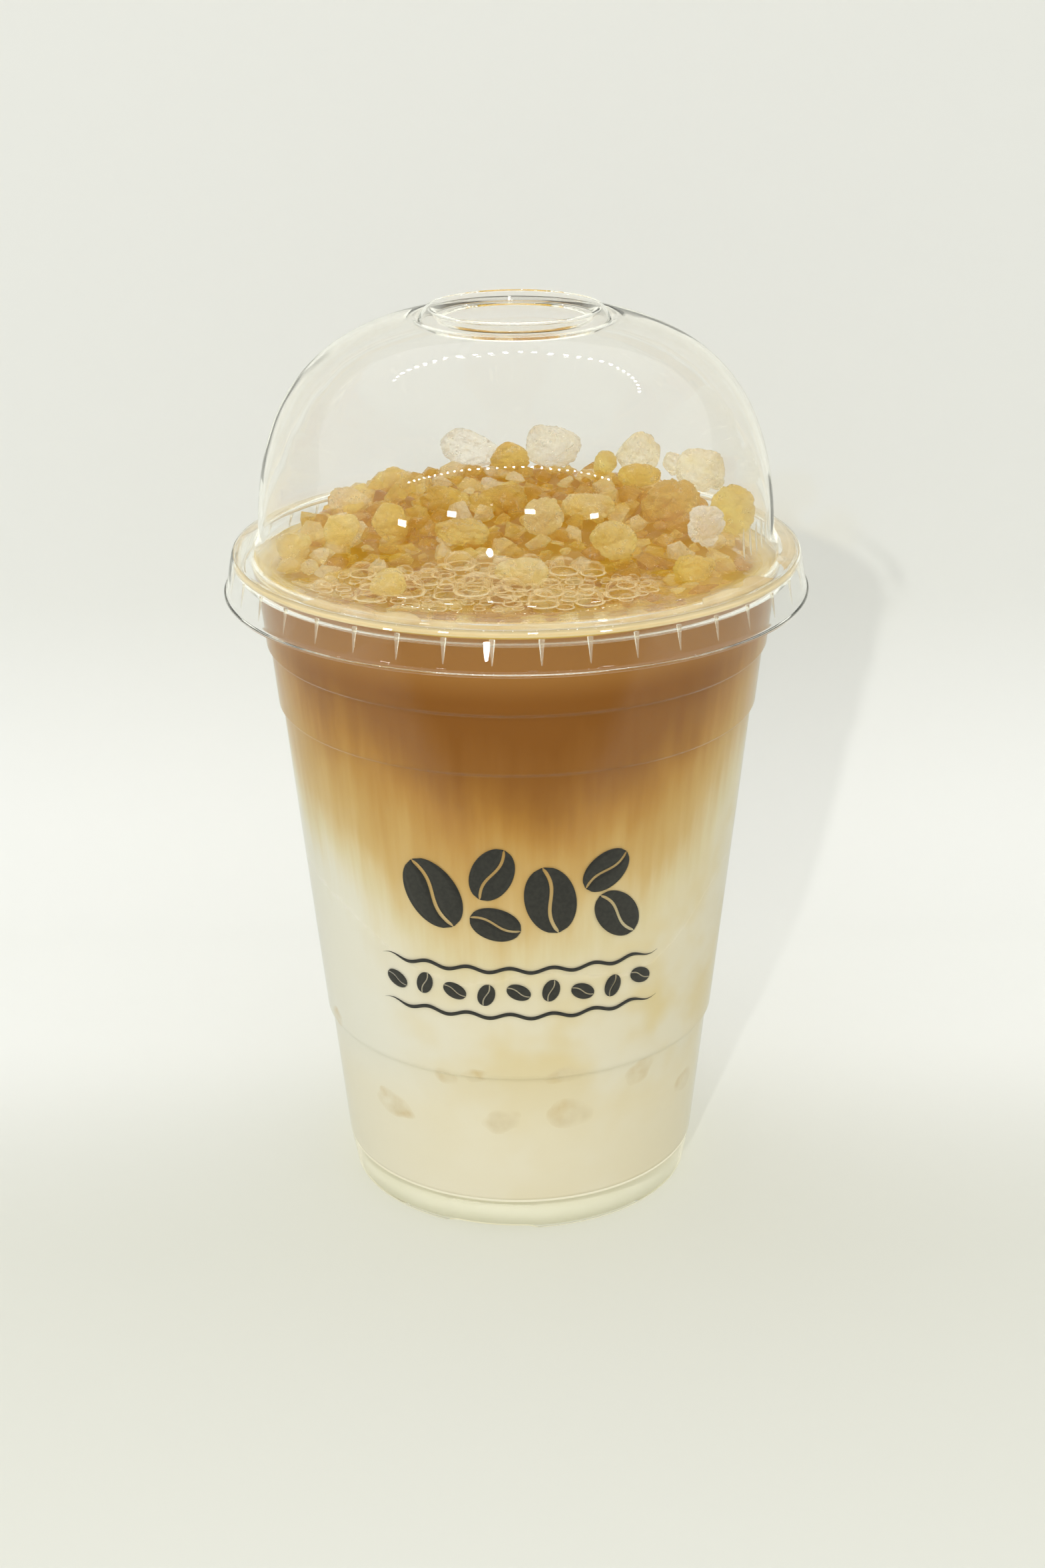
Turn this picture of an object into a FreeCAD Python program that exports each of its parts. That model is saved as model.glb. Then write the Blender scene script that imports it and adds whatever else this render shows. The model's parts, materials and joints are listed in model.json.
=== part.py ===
import FreeCAD, Part
import math
import os
import random

import Sketcher

# An iced coffee in a clear plastic cup with a dome lid.
#
# Frame: millimetres, +Z up, origin on the table at the centre of the cup's base, -Y is the front.
# The cup is a thin tapered wall with three stacking rings, a rolled rim and a hollow base.
# The drink fills it to just under the rim, as a milk layer below and a coffee layer above.
# Crushed ice lies heaped on the coffee under the lid, with larger lumps standing out of it.

Vector = FreeCAD.Vector
doc = FreeCAD.newDocument("IcedCoffee")


# ---------------------------------------------------------------------------------------------
# Driving sizes, in millimetres and degrees
# ---------------------------------------------------------------------------------------------

SIZES = [
    ("cup_height", 120.0, "cup: table to the top of the rolled rim"),
    ("base_radius", 31.3, "cup: outer radius where it stands"),
    ("wall", 0.5, "cup: thickness of the side wall"),
    ("wall_taper", 5.85, "cup: lean of the side wall, degrees"),
    ("skirt_height", 6.4, "cup: table to the cup's floor at the wall"),
    ("skirt_flare", 1.15, "cup: how much wider the base ring is at its top"),
    ("skirt_wall", 1.4, "cup: thickness of the folded base ring"),
    ("floor_thickness", 0.6, "cup: thickness of the floor"),
    ("floor_rise", 1.2, "cup: how far the floor is domed up at its centre"),
    ("step_width", 0.62, "cup: outward step at each stacking ring"),
    ("step_rise", 0.6, "cup: height of each step"),
    ("low_step_height", 32.3, "cup: table to the low stacking ring"),
    ("middle_step_drop", 28.0, "cup: rim top down to the middle stacking ring"),
    ("high_step_drop", 17.0, "cup: rim top down to the high stacking ring"),
    ("curl_radius", 1.9, "cup: outer radius of the rim's curl"),
    ("panel_count", 3, "cup: flat panels pressed into the base ring"),
    ("panel_angle", 28.0, "cup: angle that one panel takes, degrees"),
    ("panel_depth", 0.9, "cup: depth of a panel"),
    ("panel_height", 5.6, "cup: height of a panel above the table"),
    ("panel_turn", -10.0, "cup: first panel's turn from the front, degrees"),
    ("headroom", 2.5, "drink: rim top down to the surface"),
    ("milk_height", 60.0, "drink: table to the top of the milk on the axis"),
    ("milk_lean", 13.0, "drink: rise of the milk's top towards the back, degrees"),
    ("milk_lift", 9.0, "drink: rise of the milk's top at the left and right walls"),
    ("milk_wave", 1.4, "drink: height of the waves where milk meets coffee"),
    ("lid_wall", 0.4, "lid: thickness of the sheet"),
    ("lid_gap", 0.05, "lid: clearance round the rim's curl"),
    ("flange_slope", 14.0, "lid: slope of the flange over the rim, degrees"),
    ("flange_width", 4.6, "lid: flange from its outer edge to the dome"),
    ("shoulder_drop", 1.5, "lid: height of the rounded shoulder"),
    ("shoulder_flare", 0.4, "lid: how much wider the shoulder is at its foot"),
    ("collar_length", 5.3, "lid: shoulder's foot down to the lip"),
    ("collar_flare", 0.85, "lid: how much wider the collar is at the lip"),
    ("lip_width", 0.45, "lid: how far the lip stands out"),
    ("lip_height", 0.8, "lid: height of the lip"),
    ("rib_count", 40, "lid: gripping ribs round the collar"),
    ("rib_length", 4.6, "lid: length of a rib"),
    ("rib_width", 1.5, "lid: width of a rib at its top"),
    ("rib_depth", 0.35, "lid: how far a rib stands in at its top"),
    ("dome_height", 40.25, "lid: flange to the top of the dome, were it whole"),
    ("dome_fullness", 0.75, "lid: 0.707 is an ellipse, more is squarer"),
    ("hole_radius", 12.3, "lid: radius of the hole for the straw"),
    ("ridge_width", 4.2, "lid: width of the raised ring round the hole"),
    ("ridge_height", 2.6, "lid: height of the ring above the dome"),
    ("hole_drop", 1.9, "lid: top of the ring down to the hole's edge"),
    ("hole_land", 0.7, "lid: width of the flat inside the ring"),
    ("heap_gap", 3.0, "ice: free coffee between the heap and the wall, at the back"),
    ("heap_front_gap", 9.0, "ice: free coffee between the heap and the wall, in front"),
    ("heap_edge", 0.8, "ice: height of the heap at its rim"),
    ("heap_front", 1.6, "ice: height of the heap near the front"),
    ("heap_back", 9.4, "ice: height of the heap near the back"),
    ("heap_rough", 0.9, "ice: unevenness of the heap"),
    ("lump_scale", 1.0, "ice: size of the lumps against the list below"),
]

sheet = doc.addObject("Spreadsheet::Sheet", "Sizes")
for row, (alias, value, meaning) in enumerate(SIZES, start=1):
    sheet.set(f"A{row}", alias)
    sheet.set(f"B{row}", str(value))
    sheet.set(f"C{row}", meaning)
    sheet.setAlias(f"B{row}", alias)
doc.recompute()


def number(expression):
    """The value that an expression on the sheet has now."""
    value = sheet.evalExpression(expression)
    return float(getattr(value, "Value", value))


# ---------------------------------------------------------------------------------------------
# Expressions that several pieces share
# ---------------------------------------------------------------------------------------------

CURL_Z = "(Sizes.cup_height - Sizes.curl_radius)"
LOW_STEP_Z = "Sizes.low_step_height"
MIDDLE_STEP_Z = "(Sizes.cup_height - Sizes.middle_step_drop)"
HIGH_STEP_Z = "(Sizes.cup_height - Sizes.high_step_drop)"
SURFACE_Z = "(Sizes.cup_height - Sizes.headroom)"


def wall_radius(height, steps_below, inset="0"):
    """The wall's outer radius, less an inset, at a height with so many steps below it."""
    return (
        "(Sizes.base_radius + Sizes.skirt_flare"
        f" + ({height} - Sizes.skirt_height) * tan(Sizes.wall_taper * 1 deg)"
        f" + {steps_below} * Sizes.step_width - {inset})"
    )


CURL_R = f"({wall_radius(CURL_Z, 3)} + Sizes.curl_radius - Sizes.wall)"


def wall_corners(inset):
    """Corners of the side wall from the floor to above the high ring, bottom first."""
    corners = [(wall_radius("Sizes.skirt_height", 0, inset), "Sizes.skirt_height")]
    for steps_below, height in enumerate((LOW_STEP_Z, MIDDLE_STEP_Z, HIGH_STEP_Z)):
        top_of_step = f"({height} + Sizes.step_rise)"
        corners.append((wall_radius(height, steps_below, inset), height))
        corners.append((wall_radius(top_of_step, steps_below + 1, inset), top_of_step))
    return corners


# ---------------------------------------------------------------------------------------------
# Sketches
# ---------------------------------------------------------------------------------------------


def new_sketch(body, name, plane):
    """An empty sketch on one of the body's origin planes."""
    sketch = body.newObject("Sketcher::SketchObject", name)
    support = next(item for item in body.Origin.OriginFeatures if item.Role == plane)
    sketch.AttachmentSupport = [(support, "")]
    sketch.MapMode = "FlatFace"
    return sketch


def hold_distance(sketch, direction, geometry, point, expression):
    """Holds one coordinate of a point at an expression on the sheet."""
    rule = Sketcher.Constraint(f"Distance{direction}", -1, 1, geometry, point, number(expression))
    index = sketch.addConstraint(rule)
    sketch.setExpression(f"Constraints[{index}]", expression)


def hold_point(sketch, geometry, point, corner):
    """Holds a point at a corner given as a pair of expressions."""
    hold_distance(sketch, "X", geometry, point, corner[0])
    hold_distance(sketch, "Y", geometry, point, corner[1])


def draw_line(sketch, start, end):
    """A straight edge whose two ends are held at their corners."""
    points = [Vector(number(corner[0]), number(corner[1]), 0) for corner in (start, end)]
    line = sketch.addGeometry(Part.LineSegment(*points), False)
    hold_point(sketch, line, 1, start)
    hold_point(sketch, line, 2, end)
    return line


def draw_polygon(sketch, corners):
    """A closed outline of straight edges."""
    for start, end in zip(corners, corners[1:] + corners[:1]):
        draw_line(sketch, start, end)


def draw_arc(sketch, centre, radius, start_angle, end_angle):
    """An arc held at its centre and radius, whose ends are still free to turn."""
    middle = Vector(number(centre[0]), number(centre[1]), 0)
    circle = Part.Circle(middle, Vector(0, 0, 1), number(radius))
    angles = [math.radians(angle) for angle in (start_angle, end_angle)]
    arc = sketch.addGeometry(Part.ArcOfCircle(circle, *angles), False)
    hold_point(sketch, arc, 3, centre)
    index = sketch.addConstraint(Sketcher.Constraint("Radius", arc, number(radius)))
    sketch.setExpression(f"Constraints[{index}]", radius)
    return arc


def revolve(body, name, sketch):
    """The sketch turned once round the body's vertical axis."""
    feature = body.newObject("PartDesign::Revolution", name)
    feature.Profile = sketch
    feature.ReferenceAxis = (sketch, ["V_Axis"])
    feature.Angle = 360.0
    doc.recompute()
    return feature


# ---------------------------------------------------------------------------------------------
# Cup
# ---------------------------------------------------------------------------------------------


def draw_curl(sketch, radius):
    """Three quarters of a circle from the wall's top over the rim and back under itself."""
    arc = draw_arc(sketch, (CURL_R, CURL_Z), radius, -90, 180)
    hold_distance(sketch, "X", arc, 1, CURL_R)
    hold_distance(sketch, "Y", arc, 2, CURL_Z)


def make_cup():
    """Wall, floor, base ring and curled rim in one turned outline, then the pressed panels."""
    body = doc.addObject("PartDesign::Body", "Cup")
    body.Label = "cup"
    profile = new_sketch(body, "CupProfile", "XZ_Plane")

    curl_outside = "Sizes.curl_radius"
    curl_inside = "(Sizes.curl_radius - Sizes.wall)"
    floor_centre_z = "(Sizes.skirt_height + Sizes.floor_rise)"
    ring_inside = "(Sizes.base_radius - Sizes.skirt_wall)"

    outside = [("Sizes.base_radius", "0")] + wall_corners("0")
    outside.append((f"({CURL_R} - {curl_inside})", CURL_Z))
    inside = [(f"({CURL_R} - {curl_outside})", CURL_Z)] + wall_corners("Sizes.wall")[::-1]
    inside.append(("0", floor_centre_z))
    inside.append(("0", f"({floor_centre_z} - Sizes.floor_thickness)"))
    inside.append((ring_inside, "(Sizes.skirt_height - Sizes.floor_thickness)"))
    inside.append((ring_inside, "0"))

    for run in (outside, inside):
        for start, end in zip(run, run[1:]):
            draw_line(profile, start, end)
    draw_line(profile, inside[-1], outside[0])
    draw_curl(profile, curl_inside)
    draw_curl(profile, curl_outside)
    curl_end = [(CURL_R, f"({CURL_Z} - {radius})") for radius in (curl_inside, curl_outside)]
    draw_line(profile, *curl_end)
    revolve(body, "CupWall", profile)

    # One panel is a shallow pocket in the base ring: an arc behind, open to the outside.
    panel = new_sketch(body, "PanelOutline", "XY_Plane")
    deep = "(Sizes.base_radius - Sizes.panel_depth)"
    clear = "(Sizes.base_radius + 2 * Sizes.skirt_flare)"
    turns = [f"(270 + Sizes.panel_turn {sign} Sizes.panel_angle / 2)" for sign in "-+"]
    (deep_start, deep_end), (clear_start, clear_end) = [
        [(f"({radius} * cos({turn} * 1 deg))", f"({radius} * sin({turn} * 1 deg))") for turn in turns]
        for radius in (deep, clear)
    ]
    back = draw_arc(panel, ("0", "0"), deep, *[number(turn) for turn in turns])
    hold_distance(panel, "X", back, 1, deep_start[0])
    hold_distance(panel, "X", back, 2, deep_end[0])
    draw_line(panel, deep_start, clear_start)
    draw_line(panel, clear_start, clear_end)
    draw_line(panel, clear_end, deep_end)
    pocket = body.newObject("PartDesign::Pocket", "Panel")
    pocket.Profile = panel
    pocket.Reversed = True
    pocket.setExpression("Length", "Sizes.panel_height")
    before = body.Shape.Volume
    doc.recompute()
    if not body.Shape.Volume < before:
        raise RuntimeError("the base panel cuts nothing")

    pattern = body.newObject("PartDesign::PolarPattern", "Panels")
    pattern.Originals = [pocket]
    pattern.Axis = (panel, ["N_Axis"])
    pattern.Angle = 360.0
    pattern.setExpression("Occurrences", "Sizes.panel_count")
    body.Tip = pattern
    doc.recompute()
    return body


# ---------------------------------------------------------------------------------------------
# Drink: everything inside the cup, shared out between milk and coffee
# ---------------------------------------------------------------------------------------------


def make_drink():
    """The whole filling, from the domed floor to the surface, with the wall's own outline."""
    body = doc.addObject("PartDesign::Body", "Drink")
    profile = new_sketch(body, "DrinkProfile", "XZ_Plane")
    corners = [("0", "(Sizes.skirt_height + Sizes.floor_rise)")]
    corners += wall_corners("Sizes.wall")
    corners.append((wall_radius(SURFACE_Z, 3, "Sizes.wall"), SURFACE_Z))
    corners.append(("0", SURFACE_Z))
    draw_polygon(profile, corners)
    revolve(body, "DrinkFilling", profile)
    return body


def milk_top(x, y, reach):
    """Height of the uneven surface where the milk ends, lower at the front than at the back."""
    lean = y * math.tan(math.radians(number("Sizes.milk_lean")))
    lift = number("Sizes.milk_lift") * (x / reach) ** 2
    wave = number("Sizes.milk_wave") * (math.sin(0.19 * x + 0.9) + math.cos(0.16 * y - 0.5 + 0.08 * x))
    return number("Sizes.milk_height") + lean + lift + wave


def make_milk_space():
    """A block that holds all space below the milk's top."""
    reach = number(CURL_R)
    steps = 8
    ticks = [reach * (2 * step / steps - 1) for step in range(steps + 1)]
    surface = Part.BSplineSurface()
    surface.interpolate([[Vector(x, y, milk_top(x, y, reach)) for y in ticks] for x in ticks])
    space = doc.addObject("Part::Feature", "MilkSpace")
    space.Shape = surface.toShape().extrude(Vector(0, 0, -2 * number("Sizes.cup_height")))
    return space


def make_boolean(kind, name, base, tool):
    """A boolean of two objects, labelled when it is a piece of the model."""
    feature = doc.addObject(kind, name)
    feature.Base = base
    feature.Tool = tool
    return feature


def make_layers(drink, lumps):
    """Milk below, coffee above, and the coffee cut round the lumps that dip into it."""
    space = make_milk_space()
    milk = make_boolean("Part::Common", "Milk", drink, space)
    milk.Label = "milk"
    above = make_boolean("Part::Cut", "AboveMilk", drink, space)
    coffee = make_boolean("Part::Cut", "Coffee", above, lumps)
    coffee.Label = "coffee"
    doc.recompute()
    return [milk, coffee]


# ---------------------------------------------------------------------------------------------
# Lid
# ---------------------------------------------------------------------------------------------


def flat_point(radius, height):
    """A point of a turned outline."""
    return Vector(radius, 0, height)


def dome_curve(radius, height, base_z):
    """A quarter of the dome's outline, from upright at the flange to level at the top."""
    curve = Part.BezierCurve()
    curve.setPoles(
        [
            flat_point(radius, base_z),
            flat_point(radius, base_z + height),
            flat_point(0, base_z + height),
        ]
    )
    curve.setWeight(2, number("Sizes.dome_fullness"))
    return curve


def height_on_curve(curve, radius):
    """The curve's parameter and height where it comes in to a radius."""
    low, high = 0.0, 1.0
    for _ in range(60):
        middle = (low + high) / 2
        if curve.value(middle).x > radius:
            low = middle
        else:
            high = middle
    return low, curve.value(low).z


def straight_edges(points):
    """Straight edges from each point to the next."""
    return [Part.makeLine(start, end) for start, end in zip(points, points[1:])]


def lid_outline(inset):
    """One side of the lid's sheet, from the lip over the dome to the hole, as edges."""
    curl_z = number(CURL_Z)
    curl_r = number(CURL_R)
    slope = math.radians(number("Sizes.flange_slope"))
    sheet_wall = number("Sizes.lid_wall")
    rise = sheet_wall - inset

    edge_r = curl_r + number("Sizes.curl_radius") + number("Sizes.lid_gap") + rise
    outer_edge_r = edge_r + inset

    def flange_z(radius):
        touching = number("Sizes.curl_radius") / math.cos(slope)
        return curl_z + touching - (radius - curl_r) * math.tan(slope) + rise / math.cos(slope)

    edge_z = flange_z(edge_r)
    outer_edge_z = curl_z + (number("Sizes.curl_radius") + sheet_wall) / math.cos(slope)
    outer_edge_z -= (outer_edge_r - curl_r) * math.tan(slope)
    shoulder_z = outer_edge_z - number("Sizes.shoulder_drop")
    shoulder_r = edge_r + number("Sizes.shoulder_flare")
    lip_top_z = shoulder_z - number("Sizes.collar_length")
    collar_r = shoulder_r + number("Sizes.collar_flare")
    lip_r = collar_r + number("Sizes.lip_width")
    lip_z = lip_top_z - number("Sizes.lip_height")

    dome_r = outer_edge_r - number("Sizes.flange_width") - inset
    dome_z = outer_edge_z + number("Sizes.flange_width") * math.tan(slope)
    points = [flat_point(lip_r, lip_z)] if inset == 0 else [flat_point(collar_r, lip_z)]
    if inset == 0:
        points.append(flat_point(lip_r, lip_top_z))
    points += [
        flat_point(collar_r, lip_top_z),
        flat_point(shoulder_r, shoulder_z),
        flat_point(edge_r, edge_z),
        flat_point(dome_r, flange_z(dome_r)),
    ]
    if inset > 0:
        points.append(flat_point(dome_r, dome_z))
    else:
        dome_z = flange_z(dome_r)

    hole_r = number("Sizes.hole_radius")
    foot_r = hole_r + number("Sizes.ridge_width")
    curve = dome_curve(dome_r, number("Sizes.dome_height") - inset, dome_z)
    foot_at, foot_z = height_on_curve(curve, foot_r)
    crest_z = foot_z + number("Sizes.ridge_height")
    hole_z = crest_z - number("Sizes.hole_drop")
    land_r = hole_r + number("Sizes.hole_land")
    crest_r = (foot_r + land_r) / 2
    foot = flat_point(foot_r, foot_z)
    crest = flat_point(crest_r, crest_z)
    land = flat_point(land_r, hole_z)

    edges = straight_edges(points)
    edges.append(curve.toShape(0, foot_at))
    edges.append(Part.Arc(foot, crest, land).toShape())
    edges.append(Part.makeLine(land, flat_point(hole_r, hole_z)))
    return edges


def closed_solid(points, faces):
    """A solid with flat faces, each a list of point numbers."""
    polygons = [Part.makePolygon([points[i] for i in face] + [points[face[0]]]) for face in faces]
    solid = Part.Solid(Part.Shell([Part.Face(polygon) for polygon in polygons]))
    return solid if solid.Volume > 0 else solid.reversed()


def lid_rib(inside):
    """One gripping rib: a wedge on the collar's inside that thins to nothing downwards."""
    foot, shoulder = inside[0].Vertexes[1].Point, inside[1].Vertexes[1].Point
    down = (foot - shoulder).normalize()
    buried = number("Sizes.lid_wall") / 2
    half = number("Sizes.rib_width") / 2
    top = shoulder
    bottom = shoulder + down * number("Sizes.rib_length")
    points = [
        Vector(top.x + buried, -half, top.z),
        Vector(top.x + buried, half, top.z),
        Vector(top.x - number("Sizes.rib_depth"), half, top.z),
        Vector(top.x - number("Sizes.rib_depth"), -half, top.z),
        Vector(bottom.x + buried, 0, bottom.z),
    ]
    return closed_solid(points, [[3, 2, 1, 0], [0, 1, 4], [1, 2, 4], [2, 3, 4], [3, 0, 4]])


def make_lid():
    """The dome lid, turned from its sheet's two outlines, with the ribs added."""
    outside = lid_outline(0.0)
    inside = lid_outline(number("Sizes.lid_wall"))
    ends = [
        Part.makeLine(outside[0].Vertexes[0].Point, inside[0].Vertexes[0].Point),
        Part.makeLine(outside[-1].Vertexes[1].Point, inside[-1].Vertexes[1].Point),
    ]
    wire = Part.Wire(Part.__sortEdges__(outside + inside + ends))
    axis = (Vector(0, 0, 0), Vector(0, 0, 1))
    shell = Part.Face(wire).revolve(*axis, 360)
    rib = lid_rib(inside)
    count = int(number("Sizes.rib_count"))
    ribs = [rib.rotated(*axis, (index + 0.5) * 360 / count) for index in range(count)]
    lid = doc.addObject("Part::Feature", "Lid")
    lid.Label = "lid"
    lid.Shape = shell.multiFuse(ribs).Solids[0]
    return lid


# ---------------------------------------------------------------------------------------------
# Ice
# ---------------------------------------------------------------------------------------------


def ball_mesh():
    """Directions and triangles of a ball: an icosahedron with each face split in four."""
    golden = (1 + math.sqrt(5)) / 2
    corners = []
    for a in (-1, 1):
        for b in (-golden, golden):
            corners += [Vector(0, a, b), Vector(a, b, 0), Vector(b, 0, a)]
    near = 2.01
    pairs = [(i, j) for i in range(12) for j in range(i) if (corners[i] - corners[j]).Length < near]
    linked = set(pairs) | {(j, i) for i, j in pairs}
    faces = [(i, j, k) for i, j in pairs for k in range(j) if (j, k) in linked and (i, k) in linked]
    middles = {}
    for i, j in pairs:
        middles[(i, j)] = middles[(j, i)] = len(corners)
        corners.append((corners[i] + corners[j]) / 2)
    triangles = []
    for i, j, k in faces:
        a, b, c = middles[(i, j)], middles[(j, k)], middles[(k, i)]
        triangles += [[i, a, c], [a, j, b], [c, b, k], [a, b, c]]
    return [corner.normalize() for corner in corners], triangles


def chip_planes(seed):
    """The random faces of one broken piece of ice, as unit directions and distances."""
    dice = random.Random(seed)
    planes = []
    for _ in range(11):
        across = dice.uniform(-1, 1)
        turn = dice.uniform(0, 2 * math.pi)
        level = math.sqrt(1 - across * across)
        planes.append((level * math.cos(turn), level * math.sin(turn), across, dice.uniform(0.74, 1.0)))
    return planes


def chip_radius(planes, direction):
    """How far the piece reaches in a direction, with the edges between its faces melted round."""
    sharpness = 7
    total = 1.12 ** -sharpness
    for x, y, z, distance in planes:
        along = (direction.x * x + direction.y * y + direction.z * z) / distance
        total += max(0.0, along) ** sharpness
    return total ** (-1 / sharpness)


BALL_DIRECTIONS, BALL_TRIANGLES = ball_mesh()

# Each lump that stands out of the heap: azimuth (degrees, 0 is +X, 90 is the back), distance
# from the axis as a share of the drink's radius, height of its middle above the drink, and its
# width, depth and height.
LUMPS = [
    (104, 0.785, 10.6, 11.4, 8.6, 7.8),
    (78, 0.765, 10.8, 10.6, 8.6, 8.0),
    (53, 0.840, 10.4, 8.6, 6.6, 8.6),
    (42, 0.870, 9.6, 4.2, 4.2, 4.6),
    (29, 0.850, 10.0, 9.4, 7.6, 8.4),
    (20, 0.650, 6.6, 11.0, 9.0, 9.0),
    (6, 0.845, 6.8, 8.6, 8.2, 9.4),
    (-5, 0.735, 5.6, 6.8, 5.6, 7.8),
    (92, 0.680, 10.0, 7.6, 6.4, 5.6),
    (57, 0.670, 9.8, 4.4, 5.0, 5.2),
    (152, 0.750, 5.6, 8.2, 6.8, 5.6),
    (131, 0.730, 6.6, 7.2, 6.8, 6.2),
    (177, 0.490, 5.4, 6.6, 6.8, 7.6),
    (180, 0.675, 4.6, 6.6, 6.8, 6.6),
    (183, 0.860, 2.0, 6.4, 6.6, 5.4),
    (99, 0.310, 6.0, 8.8, 7.0, 6.0),
    (34, 0.130, 5.8, 7.4, 6.8, 8.0),
    (35, 0.350, 6.0, 9.8, 6.6, 5.8),
    (-17, 0.390, 3.8, 8.4, 7.6, 7.0),
    (-87, 0.370, 1.8, 9.4, 7.0, 5.4),
    (-134, 0.680, 1.4, 6.4, 6.8, 5.2),
    (-25, 0.740, 1.2, 7.6, 6.2, 5.4),
    (173, 0.210, 3.6, 10.0, 7.4, 5.2),
    (131, 0.430, 5.6, 9.6, 7.6, 6.6),
    (42, 0.670, 8.8, 8.0, 5.4, 4.8),
]


def make_lump(index, lump, earlier):
    """One broken lump of ice, cut back where it would enter a lump made before it."""
    azimuth, share, lift, *extents = lump
    planes = chip_planes(index)
    reached = [direction * chip_radius(planes, direction) for direction in BALL_DIRECTIONS]
    lows = [min(point[axis] for point in reached) for axis in range(3)]
    highs = [max(point[axis] for point in reached) for axis in range(3)]
    points = []
    for point in reached:
        spans = zip(point, lows, highs, extents)
        scaled = [((value - low) / (high - low) - 0.5) * extent for value, low, high, extent in spans]
        points.append(Vector(*scaled) * number("Sizes.lump_scale"))
    shape = closed_solid(points, BALL_TRIANGLES)

    distance = share * number(wall_radius(SURFACE_Z, 3, "Sizes.wall"))
    turn = math.radians(azimuth)
    place = Vector(distance * math.cos(turn), distance * math.sin(turn), number(SURFACE_Z) + lift)
    made_before = [other.translated(place * -1) for other in earlier]
    in_the_way = [other for other in made_before if shape.distToShape(other)[0] < 0.001]
    if in_the_way:
        shape = shape.cut(in_the_way).Solids[0]

    feature = doc.addObject("Part::Feature", f"IceLump{index:02d}")
    feature.Label = f"ice_lump_{index:02d}"
    feature.Shape = shape
    feature.Placement = FreeCAD.Placement(place, FreeCAD.Rotation())
    return feature


def make_lumps():
    """All the lumps, and a compound of them to cut the heap and the coffee with."""
    lumps = []
    for index, lump in enumerate(LUMPS, start=1):
        lumps.append(make_lump(index, lump, [made.Shape for made in lumps]))
    together = doc.addObject("Part::Compound", "AllLumps")
    together.Links = lumps
    doc.recompute()
    return lumps, together


def smooth_rise(value):
    """0 below 0, 1 above 1, and a smooth rise between."""
    value = min(1.0, max(0.0, value))
    return value * value * (3 - 2 * value)


def heap_reach(turn):
    """How far the heap spreads in a direction: nearly to the wall, but less in front."""
    front = smooth_rise(-math.sin(turn))
    gap = number("Sizes.heap_gap") * (1 - front) + number("Sizes.heap_front_gap") * front
    return number(wall_radius(SURFACE_Z, 3, "Sizes.wall")) - gap


def heap_rise(turn, share):
    """Height of the heap above the drink: low in front, high at the back, rounded at its rim."""
    front, back = number("Sizes.heap_front"), number("Sizes.heap_back")
    edge = number("Sizes.heap_edge")
    ramp = smooth_rise((share * math.sin(turn) + 0.5) / 1.25)
    return edge + (front + (back - front) * ramp - edge) * (1 - share**12)


def make_heap(together):
    """The heap of crushed ice out to its uneven outline, cut round the lumps.

    Its top is a mesh of rings about the axis, with six more points on each ring than on the last.
    """
    rings = 9
    surface_z = number(SURFACE_Z)
    rough = number("Sizes.heap_rough")
    dice = random.Random(11)
    points = [Vector(0, 0, surface_z + heap_rise(0, 0))]
    ring_starts = [0]
    for ring in range(1, rings + 1):
        ring_starts.append(len(points))
        for step in range(6 * ring):
            turn = 2 * math.pi * step / (6 * ring)
            radius = heap_reach(turn) * ring / rings - dice.uniform(0, rough)
            rise = heap_rise(turn, ring / rings)
            bump = dice.uniform(-rough, rough) * min(1.0, rise / number("Sizes.heap_front"))
            top = surface_z + max(number("Sizes.heap_edge") / 2, rise + bump)
            points.append(Vector(radius * math.cos(turn), radius * math.sin(turn), top))

    def on_ring(ring, step):
        return ring_starts[ring] + (step % (6 * ring) if ring else 0)

    faces = []
    for ring in range(1, rings + 1):
        for side in range(6):
            for step in range(ring):
                inner = on_ring(ring - 1, side * (ring - 1) + step)
                outer = [on_ring(ring, side * ring + step + ahead) for ahead in (0, 1)]
                faces.append([inner, *outer])
                if step < ring - 1:
                    faces.append([inner, outer[1], on_ring(ring - 1, side * (ring - 1) + step + 1)])

    rim = ring_starts[rings]
    count = 6 * rings
    floor = len(points)
    points += [Vector(point.x, point.y, surface_z) for point in points[rim:]]
    for step in range(count):
        after = (step + 1) % count
        faces.append([rim + step, floor + step, floor + after, rim + after])
    faces.append([floor + step for step in range(count)][::-1])

    blank = doc.addObject("Part::Feature", "HeapBlank")
    blank.Shape = closed_solid(points, faces)
    heap = make_boolean("Part::Cut", "IceHeap", blank, together)
    heap.Label = "ice_heap"
    doc.recompute()
    return heap


# ---------------------------------------------------------------------------------------------
# Build, check and write
# ---------------------------------------------------------------------------------------------

cup = make_cup()
drink = make_drink()
lumps, all_lumps = make_lumps()
layers = make_layers(drink, all_lumps)
heap = make_heap(all_lumps)
lid = make_lid()
doc.recompute()

for item in doc.Objects:
    if "Invalid" in item.State or "Error" in item.State:
        raise RuntimeError(f"{item.Label} did not build: {item.State}")

pieces = [cup, *layers, lid, heap, *lumps]
for piece in pieces:
    shape = piece.Shape
    if shape.isNull() or not shape.isValid() or len(shape.Solids) != 1:
        raise RuntimeError(f"{piece.Label} is not one valid solid: {len(shape.Solids)}")

os.makedirs("parts", exist_ok=True)
for piece in pieces:
    piece.Shape.exportStep(f"parts/{piece.Label}.step")
    box = piece.Shape.BoundBox
    size = f"{box.XLength:.1f} x {box.YLength:.1f} x {box.ZLength:.1f} mm"
    print(f"{piece.Label}: {size}, {piece.Shape.Volume / 1000:.2f} ml, top {box.ZMax:.2f}")
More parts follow.
